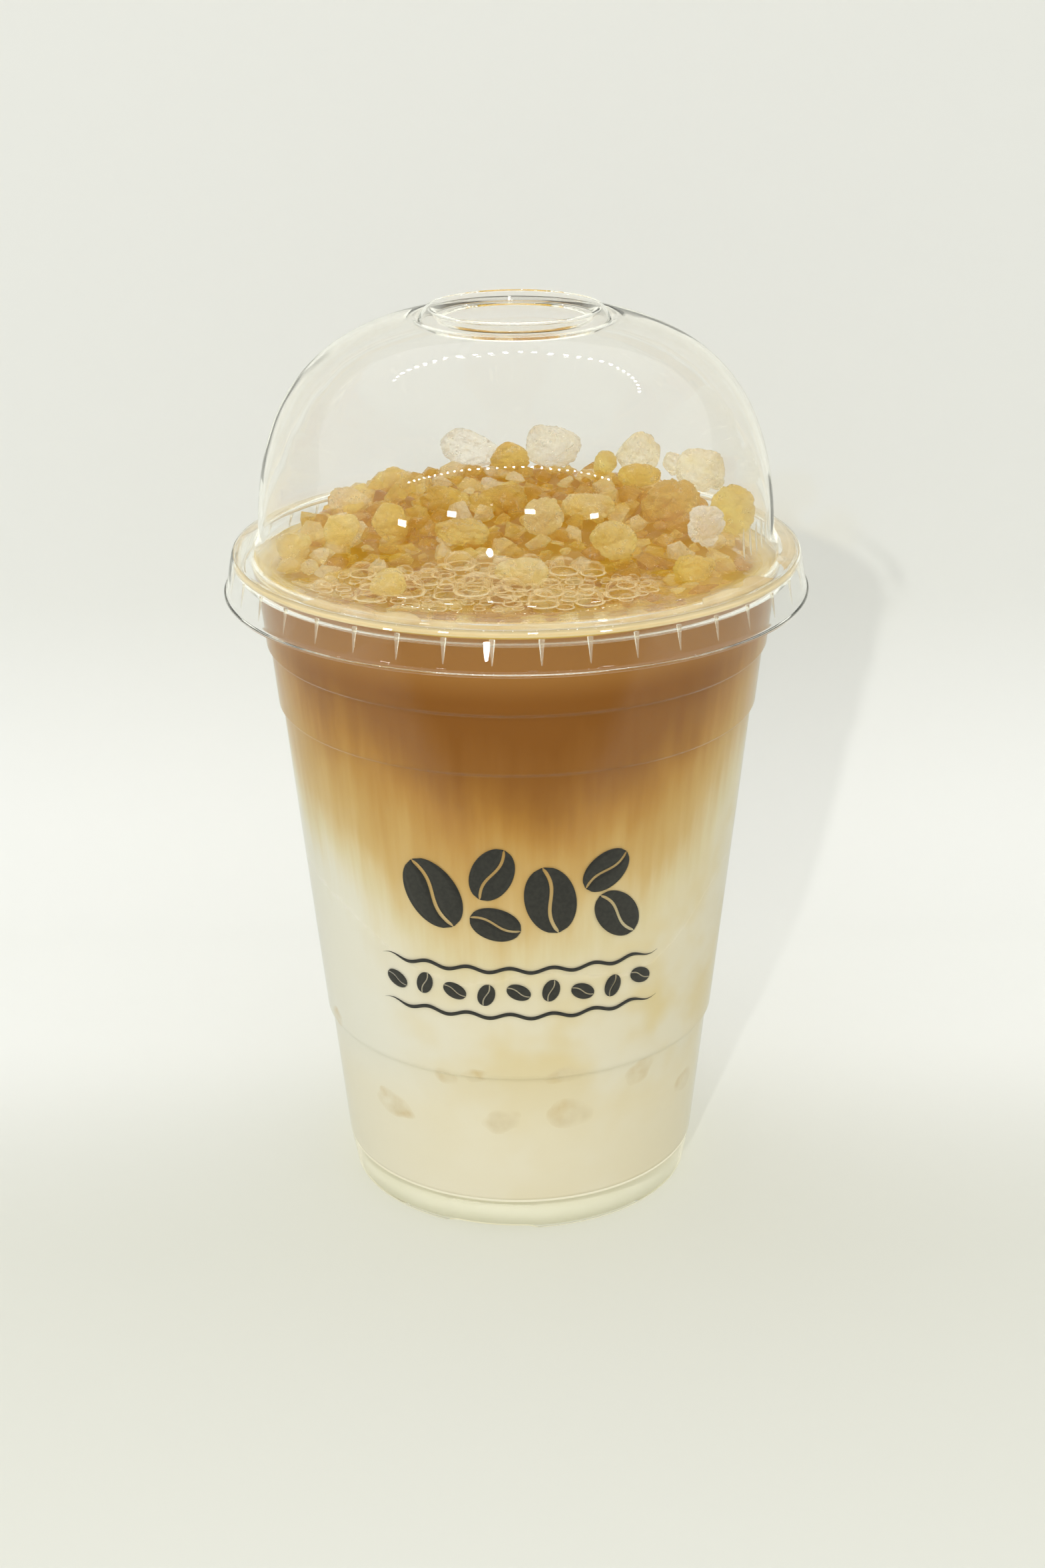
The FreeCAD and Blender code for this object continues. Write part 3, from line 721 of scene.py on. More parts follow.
def drink_floor(x, y):
    """Height of the drink's foot, half way into the cup's floor."""
    rise = FLOOR_RISE * (1 - min(1.0, math.hypot(x, y) / drink_radius(SKIRT_HEIGHT)))
    return SKIRT_HEIGHT + rise - FLOOR_WALL / 2


DRINK_SIDES = 240
DRINK_RINGS = 30
DRINK_LEVELS = sorted({*np.linspace(SKIRT_HEIGHT - FLOOR_WALL / 2, DRINK_TOP, 110)} | {
    step + STEP_RISE * share for step in STEP_HEIGHTS for share in (0, 0.25, 0.5, 0.75, 1.0)
})
TRIES = 8


def drink_layer(low_cap, high_cap):
    """Points and faces of a layer between two surfaces, each a height for a place."""

    def cap_point(cap, share, c, s):
        radius = drink_radius(DRINK_TOP)
        for _ in range(TRIES):
            radius = drink_radius(min(DRINK_TOP, cap(radius * c, radius * s)))
        x, y = share * radius * c, share * radius * s
        return x, y, cap(x, y)

    def wall_point(level, c, s):
        height = level
        for _ in range(TRIES):
            x, y = drink_radius(height) * c, drink_radius(height) * s
            height = min(max(level, low_cap(x, y)), high_cap(x, y))
        return x, y, height

    turns = [FULL_TURN * side / DRINK_SIDES for side in range(DRINK_SIDES)]
    ways = [(math.cos(turn), math.sin(turn)) for turn in turns]
    shares = [ring / DRINK_RINGS for ring in range(1, DRINK_RINGS)]
    points = [cap_point(low_cap, share, *way) for share in shares for way in ways]
    points += [wall_point(level, *way) for level in DRINK_LEVELS for way in ways]
    points += [cap_point(high_cap, share, *way) for share in reversed(shares) for way in ways]
    faces = net(len(points) // DRINK_SIDES, DRINK_SIDES, closed=True)
    for start, cap in ((0, low_cap), (len(points) - DRINK_SIDES, high_cap)):
        faces += [(start + i, start + (i + 1) % DRINK_SIDES, len(points)) for i in range(DRINK_SIDES)]
        points.append((0.0, 0.0, cap(0.0, 0.0)))
    return points, faces


# %% Colour of the drink
SPREAD_LOW = -20.0
SPREAD_HIGH = 44.0
# Millimetres over the border, and the colour there.
DRINK_STOPS = [
    (-18, paint(232, 230, 216)),
    (-12, paint(229, 225, 206)),
    (-8, paint(226, 217, 188)),
    (-4, paint(220, 206, 164)),
    (0, paint(214, 191, 139)),
    (4, paint(207, 176, 115)),
    (8, paint(200, 164, 98)),
    (12, paint(193, 153, 84)),
    (16, paint(184, 139, 69)),
    (20, paint(172, 124, 57)),
    (24, paint(158, 110, 50)),
    (30, paint(143, 95, 43)),
    (38, paint(134, 85, 34)),
]
# Scale, detail and upright stretch of the noise, and how far it shifts the colour in millimetres.
WANDER = (0.035, 2.0, 1.0, 14.0)
WISPS = (0.12, 4.0, 0.3, 12.0)
STREAKS = (0.5, 2.0, 0.05, 8.0)
# Radii in millimetres of the ring at the wall that takes the paler top colour, partly painted light.
PALE_TOP_RADII = (43.6, 43.2)


def drink_colour(tree):
    """Colour of the drink by height over the tilted border, with wisps, streaks and clouds."""
    place, x, y, z = place_in_mm(tree)
    across = times(x, x)
    over = calc("SUBTRACT", z, times(y, 0.12, times(across, 0.0128, 66.8)))
    for scale, detail, stretch, shift in (WANDER, WISPS, STREAKS):
        swirl = noise(place, scale, detail, stretch=(1, 1, stretch))
        over = calc("ADD", over, times(swirl, shift, -shift / 2))
    span = SPREAD_HIGH - SPREAD_LOW
    stops = [((height - SPREAD_LOW) / span, colour) for height, colour in DRINK_STOPS]
    side = ramp(times(over, 1 / span, -SPREAD_LOW / span, clamp=True), stops, smooth=False)
    clouds = times(between(noise(place, 0.05, 3.0, 0.55), 0.36, 0.62), 0.55, 0.45)
    clouds = times(clouds, between(x, -30.0, -2.0, 0.1, 1.0))
    clouds = times(clouds, between(z, 14.0, 44.0, 0.3, 1.0))
    clouds = times(clouds, between(over, -14.0, 4.0, 1.0, 0.0))
    side = blend(between(z, 34.0, 22.0, 0.0, 0.75), side, paint(235, 227, 201))
    side = blend(clouds, side, paint(222, 204, 152))
    side = blend(between(z, 105.0, 111.0, 0.0, 0.45), side, paint(182, 132, 70))
    # The top surface and a thin ring at the wall between 108 and 109 mm are painted paler and more golden:
    # partly painted light from above and through the thin liquid at the wall, partly a paler top layer.
    inside = between(times(y, y, across), *(radius**2 for radius in PALE_TOP_RADII))
    inside = times(inside, between(z, 108.0, 109.0))
    pale_lit_top = calc("MAXIMUM", between(z, 1000 * DRINK_TOP - 0.75, 1000 * DRINK_TOP - 0.45), inside)
    froth = between(noise(place, 0.12, 3.0), 0.35, 0.65)
    return blend(pale_lit_top, side, blend(froth, paint(206, 172, 76), paint(214, 184, 94)))


def liquid_material(name):
    """Milky drink: dull where it wets the plastic, glossy on top, and with a painted glow under its foot."""
    material, tree = new_material(name)
    _, _, _, z = place_in_mm(tree)
    top, foot = 1000 * DRINK_TOP, 1000 * (SKIRT_HEIGHT + FLOOR_RISE)
    free = between(z, top - 0.9, top - 0.4)
    sockets = {
        "Base Color": drink_colour(tree),
        "Roughness": times(free, -0.5, 0.55),
        "Specular IOR Level": free,
        "IOR": 1.34,
    }
    surface = add(tree, "BsdfPrincipled", sockets)
    normal = add(tree, "NewGeometry").node.outputs["Normal"]
    facing = add(tree, "SeparateXYZ", {0: normal}).node.outputs[2]
    # The underside at the foot glows: painted light standing for light let through the milk into the base
    # ring.
    under = times(between(z, foot + 0.2, foot), calc("LESS_THAN", facing, -0.5))
    through = add(tree, "Emission", {0: paint(226, 220, 192), 1: 1.1})
    add(tree, "OutputMaterial", {0: mixed(under, surface, through)})
    return material


MILK = liquid_material("milk_and_a_little_coffee")
COFFEE = liquid_material("coffee_with_milk")
print("drink colours:", len(DRINK_STOPS), "steps from milk to coffee")

# %% Milk layer and coffee layer
MELT_RADIUS = 43.0 * MM
MELT_DEPTH = 4.2 * MM
SURFACE = DRINK_TOP - 0.5 * MM
CREEP = 0.5 * MM
CREEP_WIDTH = 2.2 * MM


def coffee_top(x, y):
    """The milky coffee's top: it creeps up the wall, and sinks under the clear melt in the middle."""
    radius = math.hypot(x, y)
    creep = CREEP * (1 - smooth_step((drink_radius(DRINK_TOP) - radius) / CREEP_WIDTH))
    sunk = MELT_DEPTH * smooth_step((MELT_RADIUS - radius) / (5 * MM))
    return SURFACE + creep - sunk


milk = make_piece(closed_mesh("milk_layer", *drink_layer(drink_floor, milk_top)), MILK)
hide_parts("milk")
coffee = make_piece(closed_mesh("coffee_layer", *drink_layer(milk_top, coffee_top)), COFFEE)
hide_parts("coffee")

# %% [markdown]
# ## Ribs inside the lid's collar
#
# Forty small wedges inside the collar grip the cup's rim. They are all alike and evenly spaced, so Geometry
# Nodes copies one wedge forty times at the upright axis and turns each copy by its number. The same tree
# makes the few raised strokes on the dome. A pale band under the shoulder, a painted highlight for the room
# mirrored in the shoulder, is one more turned outline.


# %% Helpers for Geometry Nodes
def node_tree(name, **inputs):
    """A Geometry Nodes tree with named inputs, given as name=kind of socket."""
    tree = bpy.data.node_groups.new(name, "GeometryNodeTree")
    for label, kind in {"Geometry": "Geometry", **inputs}.items():
        tree.interface.new_socket(label, in_out="INPUT", socket_type="NodeSocket" + kind)
    tree.interface.new_socket("Geometry", in_out="OUTPUT", socket_type="NodeSocketGeometry")
    return tree, tree.nodes.new("NodeGroupInput").outputs


def end_tree(tree, geometry, material):
    """Makes instances real, gives them their material and closes the tree."""
    real = add(tree, "GeometryNodeRealizeInstances", {0: geometry})
    finished = add(tree, "GeometryNodeSetMaterial", {"Geometry": real, "Material": material})
    add(tree, "NodeGroupOutput", {0: finished})


def grow(name, base, tree, **values):
    """The plain mesh that a tree makes from a base mesh and its named values."""
    thing = bpy.data.objects.new(name, base)
    scene.collection.objects.link(thing)
    modifier = thing.modifiers.new("grow", "NODES")
    modifier.node_group = tree
    for item in tree.interface.items_tree:
        if item.in_out == "INPUT" and item.name in values:
            modifier[item.identifier] = values[item.name]
    bpy.context.view_layer.update()
    seen = thing.evaluated_get(bpy.context.evaluated_depsgraph_get())
    mesh = bpy.data.meshes.new_from_object(seen)
    mesh.name = name
    thing.modifiers.remove(modifier)
    bpy.data.objects.remove(thing)
    return mesh


def axis_tree():
    """A shape repeated round the upright axis."""
    kinds = {"Shape": "Object", "Count": "Int", "First": "Float", "Step": "Float", "Material": "Material"}
    tree, given = node_tree("repeated_round_the_axis", **kinds)
    ring = add(tree, "GeometryNodePoints", {"Count": given["Count"]})
    shape = add(tree, "GeometryNodeObjectInfo", {"Object": given["Shape"], "As Instance": True})
    turn = times(add(tree, "GeometryNodeInputIndex"), given["Step"], given["First"])
    angles = add(tree, "CombineXYZ", {"Z": turn})
    sockets = {"Points": ring, "Instance": shape.node.outputs["Geometry"], "Rotation": angles}
    end_tree(tree, add(tree, "GeometryNodeInstanceOnPoints", sockets), given["Material"])
    return tree


AROUND_AXIS = axis_tree()


def repeat_round(name, shape_mesh, count, first, step, smooth=True):
    """A piece of the lid that is one shape repeated round the axis, turned by radians each time."""
    shape = bpy.data.objects.new("shape", shape_mesh)
    values = {"Shape": shape, "Count": count, "First": first, "Step": step, "Material": DRAWN_PLASTIC}
    mesh = grow(name, bpy.data.meshes.new("nothing"), AROUND_AXIS, **values)
    piece = make_piece(mesh, smooth=smooth)
    bpy.data.objects.remove(shape)
    return piece


# %% Ribs
RIBS = 40
RIB_WIDTH = 1.0 * MM
RIB_LENGTH = 4.2 * MM
RIB_DEPTH = 0.25 * MM
RIB_TIP = 0.08 * MM
HAIR = 0.03 * MM


def rib_mesh():
    """One wedge on the +X side, against the collar's inner face and thinning to nothing downwards."""
    slope = Vector((COLLAR_R - SHOULDER_R, LID_FOOT + LIP_HEIGHT - SHOULDER_Z)).normalized()
    top = Vector((SHOULDER_R - LID_SHEET - 0.02 * MM, SHOULDER_Z - 0.2 * MM))
    foot = top + slope * RIB_LENGTH
    half = RIB_WIDTH / 2
    points = [(top.x, -half, top.y), (top.x, half, top.y)]
    points += [(top.x - RIB_DEPTH, half / 2, top.y), (top.x - RIB_DEPTH, -half / 2, top.y)]
    points += [(foot.x, -RIB_TIP, foot.y), (foot.x, RIB_TIP, foot.y)]
    faces = [(0, 1, 2, 3), (0, 4, 5, 1), (1, 5, 2), (2, 5, 4, 3), (3, 4, 0)]
    return closed_mesh("rib_shape", points, faces)


def drawn_plastic(name, colour, clearness):
    """The same plastic where it is thick and drawn, so it scatters a little light."""
    material, tree = new_material(name)
    sockets = {"Base Color": colour, "Roughness": 0.12, "IOR": 1.4, "Transmission Weight": clearness}
    see_through_for_light(add(tree, "BsdfPrincipled", sockets), (0.97, 0.97, 0.95))
    return material


DRAWN_PLASTIC = drawn_plastic("drawn_lid_plastic", paint(250, 246, 230), 0.88)
RIB_STEP = FULL_TURN / RIBS
ribs = repeat_round("lid_ribs", rib_mesh(), RIBS, RIB_STEP / 2, RIB_STEP, smooth=False)
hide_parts("lid")


# %% Painted highlight band under the shoulder
def highlight_band_outline(thickness=0.35 * MM):
    """A thin wedge against the inner face between the flange and the collar, a pale band as a painted
    highlight.
    """
    edge, shoulder = Vector((EDGE_R, EDGE_Z)), Vector((SHOULDER_R, SHOULDER_Z))
    across = shoulder - edge
    inwards = Vector((across.y, -across.x)).normalized()
    start, end = (edge + across * share + inwards * (LID_SHEET + HAIR) for share in (0.15, 0.85))
    return [tuple(start), tuple(end), tuple(end + inwards * thickness)]


# Pale cream plastic for the band: a painted highlight standing for the room mirrored in the lid's shoulder.
SHOULDER_HIGHLIGHT_PLASTIC = drawn_plastic("milky_lid_plastic", paint(246, 226, 178), 0.5)
highlight_band_mesh = closed_mesh("lid_bead", *turned(highlight_band_outline(), SIDES))
shoulder_highlight_band = make_piece(highlight_band_mesh, SHOULDER_HIGHLIGHT_PLASTIC)
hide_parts("lid")

# %% Plain strokes on the dome
STROKES = 6
STROKE_HALF = 0.16 * MM
STROKE_DEPTH = 0.3 * MM
STROKE_LEVELS = np.linspace(123.4, 128.6, 9) * MM
FIRST_STROKE, STROKE_STEP = math.radians(-32), math.radians(3.3)


def stroke_mesh():
    """An upright ridge on the dome's inner face, on the +X side, thinning out at both ends."""
    points, count = [], len(STROKE_LEVELS)
    for i, level in enumerate(STROKE_LEVELS):
        inner = dome_radius(level) - LID_SHEET - HAIR
        full = math.sin(math.pi * (i + 0.4) / (count - 0.2))
        depth, half = STROKE_DEPTH * full, STROKE_HALF * (0.4 + 0.6 * full)
        points += [(inner, -half, level), (inner - depth, 0.0, level), (inner, half, level)]
    ends = [(0, 1, 2), (3 * count - 3, 3 * count - 2, 3 * count - 1)]
    return closed_mesh("stroke_shape", points, net(count, 3, closed=True) + ends)


repeat_round("lid_strokes", stroke_mesh(), STROKES, FIRST_STROKE, STROKE_STEP)

# %% [markdown]
# ## Ice
#
# The ice is cracked lumps, some clear and pale, some steeped in coffee. Each lump is a ball cut by a few
# flat faces whose edges have melted round, and roughened where it has thawed. Between the lumps lie crushed
# ice and clear amber melt. The lumps that stand out have their own places. The crushed ice is scattered by
# Geometry Nodes over the heap.

# %% Ice material
ICE_STOPS = [
    (0.0, paint(254, 252, 242)),
    (0.25, paint(252, 243, 208)),
    (0.5, paint(249, 232, 154)),
    (0.75, paint(240, 214, 104)),
    (1.0, paint(225, 186, 72)),
]


def ice_material(name):
    """Wet ice: clear inside, frosted in places, and stained by the coffee according to an attribute."""
    material, tree = new_material(name)
    place, *_ = place_in_mm(tree)
    cloud = times(noise(place, 0.35, 3.0), 0.5, -0.25)
    colour = ramp(calc("ADD", stored(tree, "stain"), cloud, clamp=True), ICE_STOPS, smooth=False)
    grain = noise(place, 1.6, 4.0, 0.65)
    frost = times(between(noise(place, 0.5, 3.0, 0.6), 0.52, 0.68), between(grain, 0.4, 0.6))
    dents = times(noise(place, 0.7), 0.8, times(grain, 0.35))
    sockets = {
        "Base Color": blend(times(frost, 0.45), colour, paint(246, 238, 220)),
        "Roughness": times(frost, 0.35, 0.08),
        "IOR": 1.31,
        "Specular IOR Level": 1.0,
        "Transmission Weight": 0.72,
        "Normal": bump(dents, 0.8, MM),
    }
    see_through_for_light(add(tree, "BsdfPrincipled", sockets), (0.96, 0.92, 0.82))
    return material


ICE = ice_material("wet_ice")

# %% Shape of a broken lump
MELTED_EDGES = 10
LEAST_REACH = 1.12
FACES_OF_A_LUMP = 11
THAWED_DEPTH = 0.24
THAWED_SIZE = 2.2 * MM


def chip_planes(seed):
    """The random faces of one broken piece of ice, as unit directions and distances."""
    dice = random.Random(seed)
    planes = []
    for _ in range(FACES_OF_A_LUMP):
        across = dice.uniform(-1, 1)
        turn = dice.uniform(0, FULL_TURN)
        level = math.sqrt(1 - across * across)
        planes.append((level * math.cos(turn), level * math.sin(turn), across, dice.uniform(0.74, 1.0)))
    return np.array(planes)


def ball(detail):
    """Directions and faces of a ball."""
    shell = bmesh.new()
    bmesh.ops.create_icosphere(shell, subdivisions=detail, radius=1.0)
    directions = np.array([vertex.co[:] for vertex in shell.verts])
    faces = [[vertex.index for vertex in face.verts] for face in shell.faces]
    shell.free()
    return directions, faces


def chip(seed, detail, extents):
    """A broken and thawed piece of ice that just fills a box of the given sides, about its middle."""
    planes = chip_planes(seed)
    directions, faces = ball(detail)
    along = np.maximum(0.0, directions @ planes[:, :3].T / planes[:, 3])
    total = LEAST_REACH**-MELTED_EDGES + (along**MELTED_EDGES).sum(axis=1)
    points = directions * total[:, None] ** (-1 / MELTED_EDGES)
    low, high = points.min(axis=0), points.max(axis=0)
    points = ((points - low) / (high - low) - 0.5) * np.array(extents)
    for point in points:
        where = Vector(point) / THAWED_SIZE + Vector((seed * 7.3, seed * 3.1, 0))
        point *= 1 - THAWED_DEPTH * min(1.0, abs(turbulence(where, 4, False)))
    return points, faces


# %% Lumps that stand out of the heap
STAINS = [0.0, 0.08, 0.22, 0.15, 0.2, 0.85, 0.6, 0.02, 0.9, 0.6, 0.32, 0.5, 0.68, 0.55, 0.6, 0.85, 0.4, 0.42,
          0.55, 0.42, 0.45, 0.7, 0.6, 0.75, 0.8]
for index, stain in enumerate(STAINS, start=1):
    node = f"ice_lump_{index:02d}"
    low, high = (Vector(corner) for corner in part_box(node))
    points, faces = chip(index, 5, high - low)
    points += np.array((low + high) / 2)
    lump_mesh = closed_mesh(f"broken_ice_{index:02d}", points, faces, stain=[stain] * len(points))
    lump = make_piece(lump_mesh, ICE)
    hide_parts(node)

# %% Heap and melt
HEAP_GAP = 3.0 * MM
HEAP_FRONT_GAP = 9.0 * MM
HEAP_EDGE = 0.8 * MM
HEAP_FRONT = 1.6 * MM
HEAP_BACK = 9.4 * MM
MELT_DROP = 1.9 * MM


def heap_reach(turn):
    """How far the heap spreads in a direction: nearly to the wall, but less in front."""
    front = smooth_step(-math.sin(turn))
    return wall_radius(DRINK_TOP) - WALL - HEAP_GAP * (1 - front) - HEAP_FRONT_GAP * front


def heap_rise(x, y):
    """Height of the heap over the drink: low in front, high at the back, rounded at its rim."""
    turn = math.atan2(y, x)
    share = min(1.0, math.hypot(x, y) / heap_reach(turn))
    lift = smooth_step((share * math.sin(turn) + 0.5) / 1.25)
    return HEAP_EDGE + (HEAP_FRONT + (HEAP_BACK - HEAP_FRONT) * lift - HEAP_EDGE) * (1 - share**12)


def melt_top(x, y):
    """The melt's surface: level in front, and creeping up between the ice at the back."""
    waves = 0.5 * MM * math.sin(x / (2.3 * MM) + 2 * math.sin(y / (3.1 * MM)))
    over = (DRINK_TOP - MELT_DROP + heap_rise(x, y) + waves - SURFACE) / MM
    edge = smooth_step((MELT_RADIUS - 0.5 * MM - math.hypot(x, y)) / (3 * MM))
    return SURFACE - 0.04 * MM + MM * edge * math.log1p(math.exp(2 * over)) / 2


def disc(radius, rings, sides, height):
    """Points and faces of a round surface with a height for each place."""
    points = [(0.0, 0.0, height(0.0, 0.0))]
    for ring in range(1, rings + 1):
        for side in range(sides):
            turn = FULL_TURN * side / sides
            x, y = radius * ring / rings * math.cos(turn), radius * ring / rings * math.sin(turn)
            points.append((x, y, height(x, y)))
    faces = [(0, 1 + side, 1 + (side + 1) % sides) for side in range(sides)]
    return points, faces + [(1 + a, 1 + d, 1 + c, 1 + b) for a, b, c, d in net(rings, sides, closed=True)]


def melt_material():
    """Clear amber melt: the deeper it is, the browner."""
    material, tree = new_material("amber_melt")
    place, *_ = place_in_mm(tree)
    ripples = bump(noise(place, 0.45), 0.2, MM)
    glass = add(tree, "BsdfGlass", {"Color": (1, 1, 1), "Roughness": 0.0, "IOR": 1.33, "Normal": ripples})
    output = see_through_for_light(glass, (1, 1, 1))
    brown = add(tree, "VolumeAbsorption", {"Color": (0.9, 0.81, 0.14), "Density": 130.0})
    tree.links.new(brown, output.inputs["Volume"])
    return material


RINGS, AROUND = 56, 144
top_points, top_faces = disc(MELT_RADIUS, RINGS, AROUND, melt_top)
under_points, under_faces = disc(MELT_RADIUS, RINGS, AROUND, lambda x, y: coffee_top(x, y) - 0.3 * MM)
count = len(top_points)
melt_faces = top_faces + [[corner + count for corner in face] for face in under_faces]
for side in range(AROUND):
    near, far = count - AROUND + side, count - AROUND + (side + 1) % AROUND
    melt_faces.append((near, far, count + far, count + near))
melt_mesh = closed_mesh("amber_melt", top_points + under_points, melt_faces)
melt = make_piece(melt_mesh, melt_material())
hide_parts("ice_heap")


# %% Strewing with Geometry Nodes
def strewn_tree():
    """Pieces of a collection strewn over a surface, each turned, sized and stained at random."""
    floats = ("Spacing", "Density", "Turn", "Smallest", "Largest", "Rarity", "Palest", "Darkest")
    kinds = {"Pieces": "Collection", **dict.fromkeys(floats, "Float"), "Seed": "Int", "Size Seed": "Int"}
    tree, given = node_tree("strewn_pieces", **kinds, Material="Material")

    def chance(seed, **settings):
        return add(tree, "FunctionNodeRandomValue", {"Seed": seed}, data_type="FLOAT", **settings).node

    sockets = {
        "Mesh": given["Geometry"],
        "Distance Min": given["Spacing"],
        "Density Max": given["Density"],
        "Seed": given["Seed"],
    }
    strewn = add(tree, "GeometryNodeDistributePointsOnFaces", sockets, distribute_method="POISSON")
    chosen = {"Collection": given["Pieces"], "Separate Children": True, "Reset Children": True}
    turns = {"Min": (0, 0, 0), "Max": given["Turn"], "Seed": 1}
    size = calc("POWER", chance(given["Size Seed"]).outputs[1], given["Rarity"])
    sockets = {
        "Points": strewn,
        "Instance": add(tree, "GeometryNodeCollectionInfo", chosen),
        "Pick Instance": True,
        "Rotation": add(tree, "FunctionNodeRandomValue", turns, data_type="FLOAT_VECTOR"),
        "Scale": times(size, calc("SUBTRACT", given["Largest"], given["Smallest"]), given["Smallest"]),
    }
    placed = add(tree, "GeometryNodeInstanceOnPoints", sockets)
    shade = chance(3)
    for number, label in ((2, "Palest"), (3, "Darkest")):
        tree.links.new(given[label], shade.inputs[number])
    sockets = {"Geometry": placed, "Name": "stain", "Value": shade.outputs[1]}
    stained = add(tree, "GeometryNodeStoreNamedAttribute", sockets, data_type="FLOAT", domain="INSTANCE")
    end_tree(tree, stained, given["Material"])
    return tree


STREWN = strewn_tree()


def strew(name, shapes, base, **values):
    """The mesh of some shapes strewn over a base mesh."""
    collection = bpy.data.collections.new("shapes")
    for i, mesh in enumerate(shapes):
        collection.objects.link(bpy.data.objects.new(f"shape_{i}", mesh))
    mesh = grow(name, base, STREWN, Pieces=collection, **values)
    for thing in list(collection.objects):
        bpy.data.objects.remove(thing)
    bpy.data.collections.remove(collection)
    return mesh


# %% Crushed ice
def splinter(seed, corners=17):
    """An angular broken piece about one unit across: the hull of a few random points."""
    dice = random.Random(seed)
    extents = [dice.uniform(0.3, 0.5) for _ in range(3)]
    shell = bmesh.new()
    for _ in range(corners):
        point = Vector([dice.gauss(0, 1) for _ in range(3)]).normalized() * dice.uniform(0.86, 1.0)
        shell.verts.new([side * reach for side, reach in zip(point, extents)])
    bmesh.ops.convex_hull(shell, input=shell.verts)
    loose = [vertex for vertex in shell.verts if not vertex.link_faces]
    bmesh.ops.delete(shell, geom=loose, context="VERTS")
    shell.verts.index_update()
    points = [vertex.co.copy() for vertex in shell.verts]
    faces = [[vertex.index for vertex in face.verts] for face in shell.faces]
    shell.free()
    return closed_mesh(f"crushed_shape_{seed}", points, faces)


BED_DEPTH = 2.6 * MM
BED_LIFT = 0.75


def bed(x, y):
    """Where the crushed ice lies: just under the melt's surface, and nearer to it at the back."""
    return melt_top(x, y) - BED_DEPTH * (1 - BED_LIFT * smooth_step((y / MM + 16) / 22))


CRUSHED = {"Spacing": 3.3 * MM, "Density": 9e5, "Turn": FULL_TURN, "Smallest": 3.2 * MM, "Largest": 8.6 * MM,
           "Rarity": 1.0, "Palest": 0.15, "Darkest": 1.15, "Seed": 4, "Size Seed": 2, "Material": ICE}
splinters = [splinter(seed) for seed in range(40, 50)]
crushed_mesh = strew("crushed_ice", splinters, closed_mesh("bed", *disc(39.5 * MM, 30, 72, bed)), **CRUSHED)
crushed_ice = make_piece(crushed_mesh, smooth=False)
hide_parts("ice_heap")

# %% [markdown]
# ## Bubbles
#
# Where the drink was poured, clusters of clear bubbles float in front of the ice. Each is a very thin
# dome of liquid, so it has an outer and an inner face, and froth round its foot. The tree that strews the
# crushed ice strews them over a patch of the surface too, upright and with small ones more common.

# %% Shape of a bubble
BUBBLE_SIDES, BUBBLE_RINGS = 12, 3
BUBBLE_FILM = 0.06
BUBBLE_SQUASH = 0.72
BUBBLE_LIFT = 0.13
FROTH_FOOT = [(0.44, -0.17), (0.5, -0.19), (0.55, -0.15)]


def bubble_mesh():
    """A thin flattened dome one unit across, with an outer and an inner face and a foot of froth."""
    run, up = [], range(BUBBLE_RINGS + 1)
    for radius, steps in ((0.5, up), (0.5 - BUBBLE_FILM, reversed(up))):
        for step in steps:
            turn = math.radians(-15 + 105 * step / BUBBLE_RINGS)
            run.append((radius * math.cos(turn) if step < BUBBLE_RINGS else 0.0, radius * math.sin(turn)))
    points, faces = turned(run + FROTH_FOOT, BUBBLE_SIDES)
    froth = [1.0 if z < -0.14 else 0.0 for _, _, z in points]
    points = [(x, y, BUBBLE_SQUASH * z + BUBBLE_LIFT) for x, y, z in points]
    return closed_mesh("bubble_shape", points, faces, froth=froth)


def bubble_material():
    """A thin film of liquid, clear face on and bright at its edges."""
    material, tree = new_material("bubble_film")
    facing = add(tree, "LayerWeight", {"Blend": 0.5}).node.outputs["Facing"]
    sheen = times(calc("POWER", facing, 5.0), 0.95, 0.02)
    sheen = times(stored(tree, "froth"), 0.6, sheen, clamp=True)
    clear = add(tree, "BsdfTransparent", {0: (1.0, 0.995, 0.98)})
    gloss = add(tree, "BsdfGlossy", {"Color": (1.0, 0.93, 0.74), "Roughness": 0.03})
    froth = add(tree, "BsdfDiffuse", {0: paint(255, 240, 200)})
    add(tree, "OutputMaterial", {0: mixed(sheen, clear, mixed(0.55, gloss, froth))})
    return material


# %% Bubbles
BUBBLES = {"Spacing": 2.7 * MM, "Density": 2e6, "Turn": 0.0, "Smallest": 1.8 * MM, "Largest": 6.4 * MM,
           "Rarity": 2.2, "Palest": 0.0, "Darkest": 0.0, "Seed": 8, "Size Seed": 5}
patch_points, patch_faces = disc(16 * MM, 8, 24, lambda x, y: 0.0)
patch = [(1.75 * x - 5 * MM, 0.75 * y - 20 * MM) for x, y, _ in patch_points]
bubble_base = closed_mesh("bubble_patch", [(x, y, melt_top(x, y) + 0.15 * MM) for x, y in patch], patch_faces)
bubbles_mesh = strew("bubbles", [bubble_mesh()], bubble_base, Material=bubble_material(), **BUBBLES)
make_piece(bubbles_mesh)

# %% [markdown]
# ## Ice sunk in the milk
#
# A few pieces of ice lie against the wall inside the milk and show as soft tan shadows. Each is a lens whose
# outer face follows the wall. Its colour fades into the milk's towards its edge, so it has a value for how
# far in from the edge each point is, and the material mixes by that.


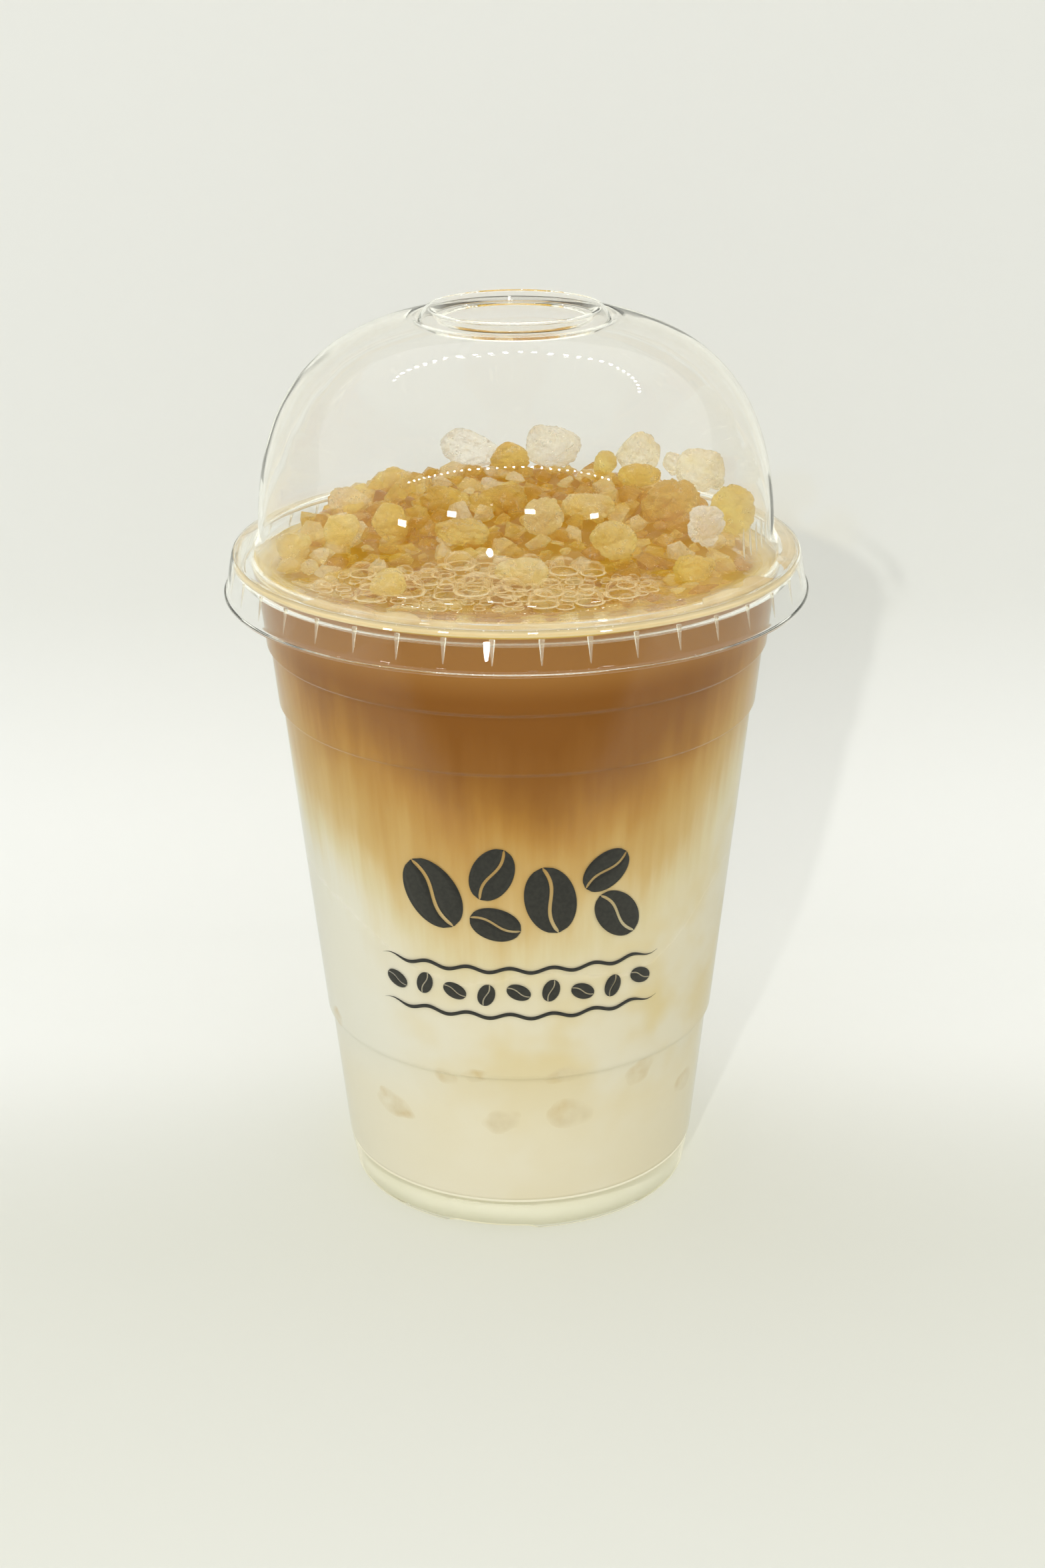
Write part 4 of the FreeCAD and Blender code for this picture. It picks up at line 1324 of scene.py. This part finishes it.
# %% Sunken ice
def sunken_material():
    """Ice dimly seen through milk: the drink's own colour at the edge and a tan shade inside."""
    material, tree = new_material("ice_under_milk")
    place, *_ = place_in_mm(tree)
    patchy = times(noise(place, 0.35, 3.0), 1.7, -0.3)
    share = times(between(stored(tree, "within"), 0.12, 0.6, 0.0, 0.95), patchy, clamp=True)
    shade = blend(between(noise(place, 0.2), 0.4, 0.6), paint(207, 184, 132), paint(216, 202, 166))
    colour = blend(share, drink_colour(tree), shade)
    sockets = {"Base Color": colour, "Roughness": 0.55, "Specular IOR Level": 0.0}
    add(tree, "OutputMaterial", {0: add(tree, "BsdfPrincipled", sockets)})
    return material


# Azimuth from the front in degrees, height, width, height of the piece and its tilt in degrees.
SUNKEN = [(-42, 22.5, 13, 7, -12), (-5.5, 23.5, 10, 6.5, 8), (13, 33, 11, 5, 10), (-22, 32, 6, 5, -20),
          (-13, 33, 7, 4, 10), (15, 24.5, 13, 8, -15), (38, 30, 9, 7, 25), (62, 22, 10, 6, -10),
          (100, 30, 12, 8, 15), (150, 24, 11, 7, -20), (205, 33, 12, 7, 10), (255, 26, 10, 8, -8),
          (-68, 34, 8, 6, 15)]
LENS_RINGS, LENS_SIDES = 8, 36
LENS_DEPTH = 2.5 * MM
LENS_EDGE = (0.2 * MM, 0.17 * MM)


def swung(x, y, lean):
    """A flat place turned by an angle in degrees."""
    c, s = math.cos(math.radians(lean)), math.sin(math.radians(lean))
    return x * c - y * s, x * s + y * c


def round_front(radius, turn, height):
    """A point by its radius, its turn from the front in radians, and its height."""
    return radius * math.sin(turn), -radius * math.cos(turn), height


def lens(number, azimuth, middle, width, tall, tilt):
    """Points, faces and inwardness of one sunken piece."""
    dice = random.Random(number)
    lobes = [(k, dice.uniform(0.03, 0.09), dice.uniform(0, FULL_TURN)) for k in (2, 3, 5)]
    points, within = [], []
    for outer in (True, False):
        for share in np.linspace(0, 1, LENS_RINGS + 1):
            if outer:
                depth = HAIR - LENS_EDGE[0] * share**6
            else:
                depth = -LENS_DEPTH * math.sqrt(1 - share**2) - LENS_EDGE[1]
            for turn in np.arange(LENS_SIDES) * FULL_TURN / LENS_SIDES:
                reach = share * (1 + sum(size * math.sin(k * turn + start) for k, size, start in lobes))
                place = reach * width / 2 * math.cos(turn), reach * tall / 2 * math.sin(turn)
                across, up = swung(*place, tilt)
                height = (middle + up) * MM
                radius = drink_radius(height)
                round_it = math.radians(azimuth) + across * MM / radius
                points.append(round_front(radius + depth, round_it, height))
                within.append(1 - share)
    front = net(LENS_RINGS + 1, LENS_SIDES, closed=True)
    back = [[corner + len(points) // 2 for corner in face] for face in front]
    return points, front + back, within


UNDER_MILK = sunken_material()
for number, place in enumerate(SUNKEN, start=1):
    points, faces, within = lens(number, *place)
    name = f"sunken_ice_{number:02d}"
    make_piece(closed_mesh(name, points, faces, merge=0.002 * MM, within=within), UNDER_MILK)

# %% [markdown]
# ## Print
#
# The cup carries a plain black print: coffee beans and two wavy lines of steam. Each printed shape is a strip
# between two curves, laid on the wall's outer face as a skin of ink.

# %% Printed shapes
INK_LEVELS = (0.01 * MM, 0.04 * MM)
PRINT_STEPS = 28
GROOVE_BEND = 0.16
GROOVE_HALF = 0.075


def ink_material():
    """Matt black ink, a little uneven."""
    material, tree = new_material("black_ink")
    place, *_ = place_in_mm(tree)
    colour = blend(between(noise(place, 1.5, 3.0), 0.3, 0.7), paint(40, 40, 35), paint(50, 49, 43))
    sockets = {"Base Color": colour, "Roughness": 0.45, "IOR": 1.45}
    add(tree, "OutputMaterial", {0: add(tree, "BsdfPrincipled", sockets)})
    return material


def strip(first, second, widths=4):
    """A closed skin of ink between two runs of (across, height) of the same length, in millimetres."""
    points = []
    for level in INK_LEVELS:
        for a, b in zip(first, second):
            for share in (step / widths for step in range(widths + 1)):
                across, height = (MM * (start + (end - start) * share) for start, end in zip(a, b))
                radius = wall_radius(height)
                points.append(round_front(radius + level, across / radius, height))
    return points, skin(len(first), widths + 1)


def bean(across, height, long, wide, tilt):
    """Two halves of a coffee bean with a curved groove between them."""
    halves = []
    for side in (-1, 1):
        edge, groove = [], []
        for along in (-0.998 + 1.996 * step / PRINT_STEPS for step in range(PRINT_STEPS + 1)):
            half = math.sqrt(1 - along**2)
            inner = (GROOVE_BEND * math.sin(math.pi * along) + side * GROOVE_HALF) * min(1.0, 2.2 * half)
            for run, out in ((edge, side * half), (groove, inner)):
                x, y = swung(out * wide / 2, along * long / 2, tilt)
                run.append((across + x, height + y))
        halves.append(strip(edge, groove))
    return halves


def wave(start, end, height, swing=0.45, waves=7, thick=0.7, fade=0.15):
    """A wavy line that thins out at both ends."""
    top, bottom = [], []
    for share in (step / (6 * PRINT_STEPS) for step in range(6 * PRINT_STEPS + 1)):
        across = start + (end - start) * share
        level = height + swing * math.sin(FULL_TURN * waves * share)
        half = thick / 2 * smooth_step(min(share, 1 - share) / fade + 0.08)
        top.append((across, level + half))
        bottom.append((across, level - half))
    return [strip(bottom, top, widths=1)]


# %% Print on the cup
# Millimetres round the wall from the front, height, length, width and tilt of each printed bean.
BEANS = [(-15.0, 69.0, 14.0, 9.6, 32), (-4.5, 73.6, 10.5, 7.2, -24), (-4.0, 64.0, 9.0, 6.2, 74),
         (5.4, 68.6, 13.0, 8.8, 12), (15.2, 73.2, 9.5, 6.6, -52), (17.4, 64.4, 10.5, 7.2, 38)]
BEANS += [(-22.5 + 5.6 * i, 50.4 + 0.5 * math.sin(1.7 * i), 4.4, 3.0, 25 + 40 * (-1) ** i) for i in range(9)]
skins = [half for item in BEANS for half in bean(*item)]
for level in (45.8, 55.0):
    skins += wave(-25.5, 26.0, level)
ink_points, ink_faces = [], []
for points, faces in skins:
    ink_faces += [[corner + len(ink_points) for corner in face] for face in faces]
    ink_points += points
make_piece(closed_mesh("printed_beans", ink_points, ink_faces), ink_material())
print(len(skins), "printed shapes")

# %% [markdown]
# ## Coffee caught under the lid
#
# A little coffee has been splashed between the lid's sloping flange and the cup's rolled rim. It lies as a
# thin uneven skin on the inner face of the flange, at the front left and all along the right.

# %% Coffee film
FILM_THICKNESS = 0.12 * MM
FILM_LENGTHS, FILM_WIDTHS = 60, 6
FILM_START = EDGE_R - LID_SHEET - 0.5 * MM
FILM_REACH = FLANGE_WIDTH - 1.2 * MM
# First and last azimuth from the front in degrees, and the share of the flange covered.
FILMS = [(-46, -17, 0.85), (-22, 42, 0.35), (38, 62, 0.9), (68, 112, 0.9), (150, 190, 0.6), (-120, -95, 0.5)]


def film_material():
    """A thin wet film of milky coffee."""
    material, tree = new_material("coffee_film")
    place, *_ = place_in_mm(tree)
    colour = blend(between(noise(place, 0.12), 0.3, 0.7), paint(214, 180, 108), paint(228, 204, 146))
    wet = add(tree, "BsdfPrincipled", {"Base Color": colour, "Roughness": 0.25, "IOR": 1.34})
    thick = between(noise(place, 0.1), 0.3, 0.6, 0.15, 0.75)
    add(tree, "OutputMaterial", {0: mixed(thick, add(tree, "BsdfTransparent"), wet)})
    return material


def flange_under(radius):
    """Height of the flange's inner face."""
    return EDGE_Z + (EDGE_R - radius) * math.tan(FLANGE_SLOPE) - LID_SHEET / math.cos(FLANGE_SLOPE)


def film(number, first, last, share):
    """Points and faces of one uneven film."""
    dice = random.Random(60 + number)
    wobble = [(k, dice.uniform(0.05, 0.16), dice.uniform(0, 6.3)) for k in (1, 2, 3)]
    points = []
    for thickness in (0.0, FILM_THICKNESS):
        for part in (step / FILM_LENGTHS for step in range(FILM_LENGTHS + 1)):
            turn = math.radians(first + (last - first) * part)
            reach = share * smooth_step(min(part, 1 - part) / 0.12 + 0.04)
            reach *= 0.8 + sum(size * math.sin(k * part * 7 + start) for k, size, start in wobble)
            for across in range(FILM_WIDTHS + 1):
                radius = FILM_START - FILM_REACH * reach * across / FILM_WIDTHS
                points.append(round_front(radius, turn, flange_under(radius) - HAIR - thickness))
    return points, skin(FILM_LENGTHS + 1, FILM_WIDTHS + 1)


FILM_STAIN = film_material()
for number, place in enumerate(FILMS, start=1):
    make_piece(closed_mesh(f"coffee_film_{number}", *film(number, *place)), FILM_STAIN)

# %% [markdown]
# ## Lights mirrored in the dome
#
# The room's rows of small lamps show as strings of dots in the dome. They are beads that only mirrored rays
# can see, so they neither light the drink nor show in the picture themselves.


# %% Mirrored lamps
def bead_material(strength):
    """Bright to mirrored rays, and clear to all others."""
    material, tree = new_material("mirrored_lamp")
    path = add(tree, "LightPath").node.outputs
    mirrored = calc("GREATER_THAN", path["Glossy Depth"], 0.5)
    shown = times(mirrored, calc("LESS_THAN", path["Diffuse Depth"], 0.5))
    shown = times(shown, calc("SUBTRACT", 1.0, path["Is Shadow Ray"]))
    bright = add(tree, "Emission", {0: (1.0, 0.98, 0.95), 1: strength})
    add(tree, "OutputMaterial", {0: mixed(shown, add(tree, "BsdfTransparent"), bright)})
    return material


DOME_MIDDLE = Vector((0, 0, DOME_Z))


def direction(azimuth, elevation):
    """A direction by its azimuth from the front and its elevation, in degrees."""
    turn, lift = math.radians(azimuth), math.radians(elevation)
    return Vector(round_front(math.cos(lift), turn, math.sin(lift)))


def bead_row(name, places, radius, strength):
    """A row of small balls as part of the stage."""
    directions, faces = ball(2)
    points, all_faces = [], []
    for place in places:
        all_faces += [[corner + len(points) for corner in face] for face in faces]
        points += [Vector(place) + Vector(step) * radius for step in directions]
    make_stage(name, points, all_faces, bead_material(strength))


def window(name, azimuth, elevation, width=16 * MM, tall=9 * MM):
    """A small bright panel facing the dome."""
    towards = direction(azimuth, elevation)
    middle = DOME_MIDDLE + 0.5 * towards
    side = towards.cross(Vector((0, 0, 1))).normalized()
    up = side.cross(towards)
    corners = [middle + side * width * a + up * tall * b for a, b in ((-1, -1), (1, -1), (1, 1), (-1, 1))]
    make_stage(name, corners, [(0, 1, 2, 3)], bead_material(40))


LAMPS_IN_A_ROW = 28
steps = [i / (LAMPS_IN_A_ROW - 1) for i in range(LAMPS_IN_A_ROW)]
front_row = [((step - 0.5) * 0.57 - 0.035, -0.28, 0.328 - 0.12 * (step - 0.5) ** 2) for step in steps]
bead_row("lamp_row_in_front", front_row, 3.4 * MM, 80)
arc = [DOME_MIDDLE + 0.6 * direction(113 + 118 * step, 53) for step in steps]
bead_row("lamp_row_above", arc, 4.8 * MM, 90)
bead_row("lamp_beside_the_camera", [DOME_MIDDLE + 0.5 * direction(-11, 0)], 12 * MM, 80)
for number, place in enumerate([(-48, 6), (-27, 12.5), (6, 14.7), (32.5, 10.5)], start=1):
    window(f"mirrored_window_{number}", *place)
print(2 * LAMPS_IN_A_ROW + 1, "lamps and", number, "windows to mirror")
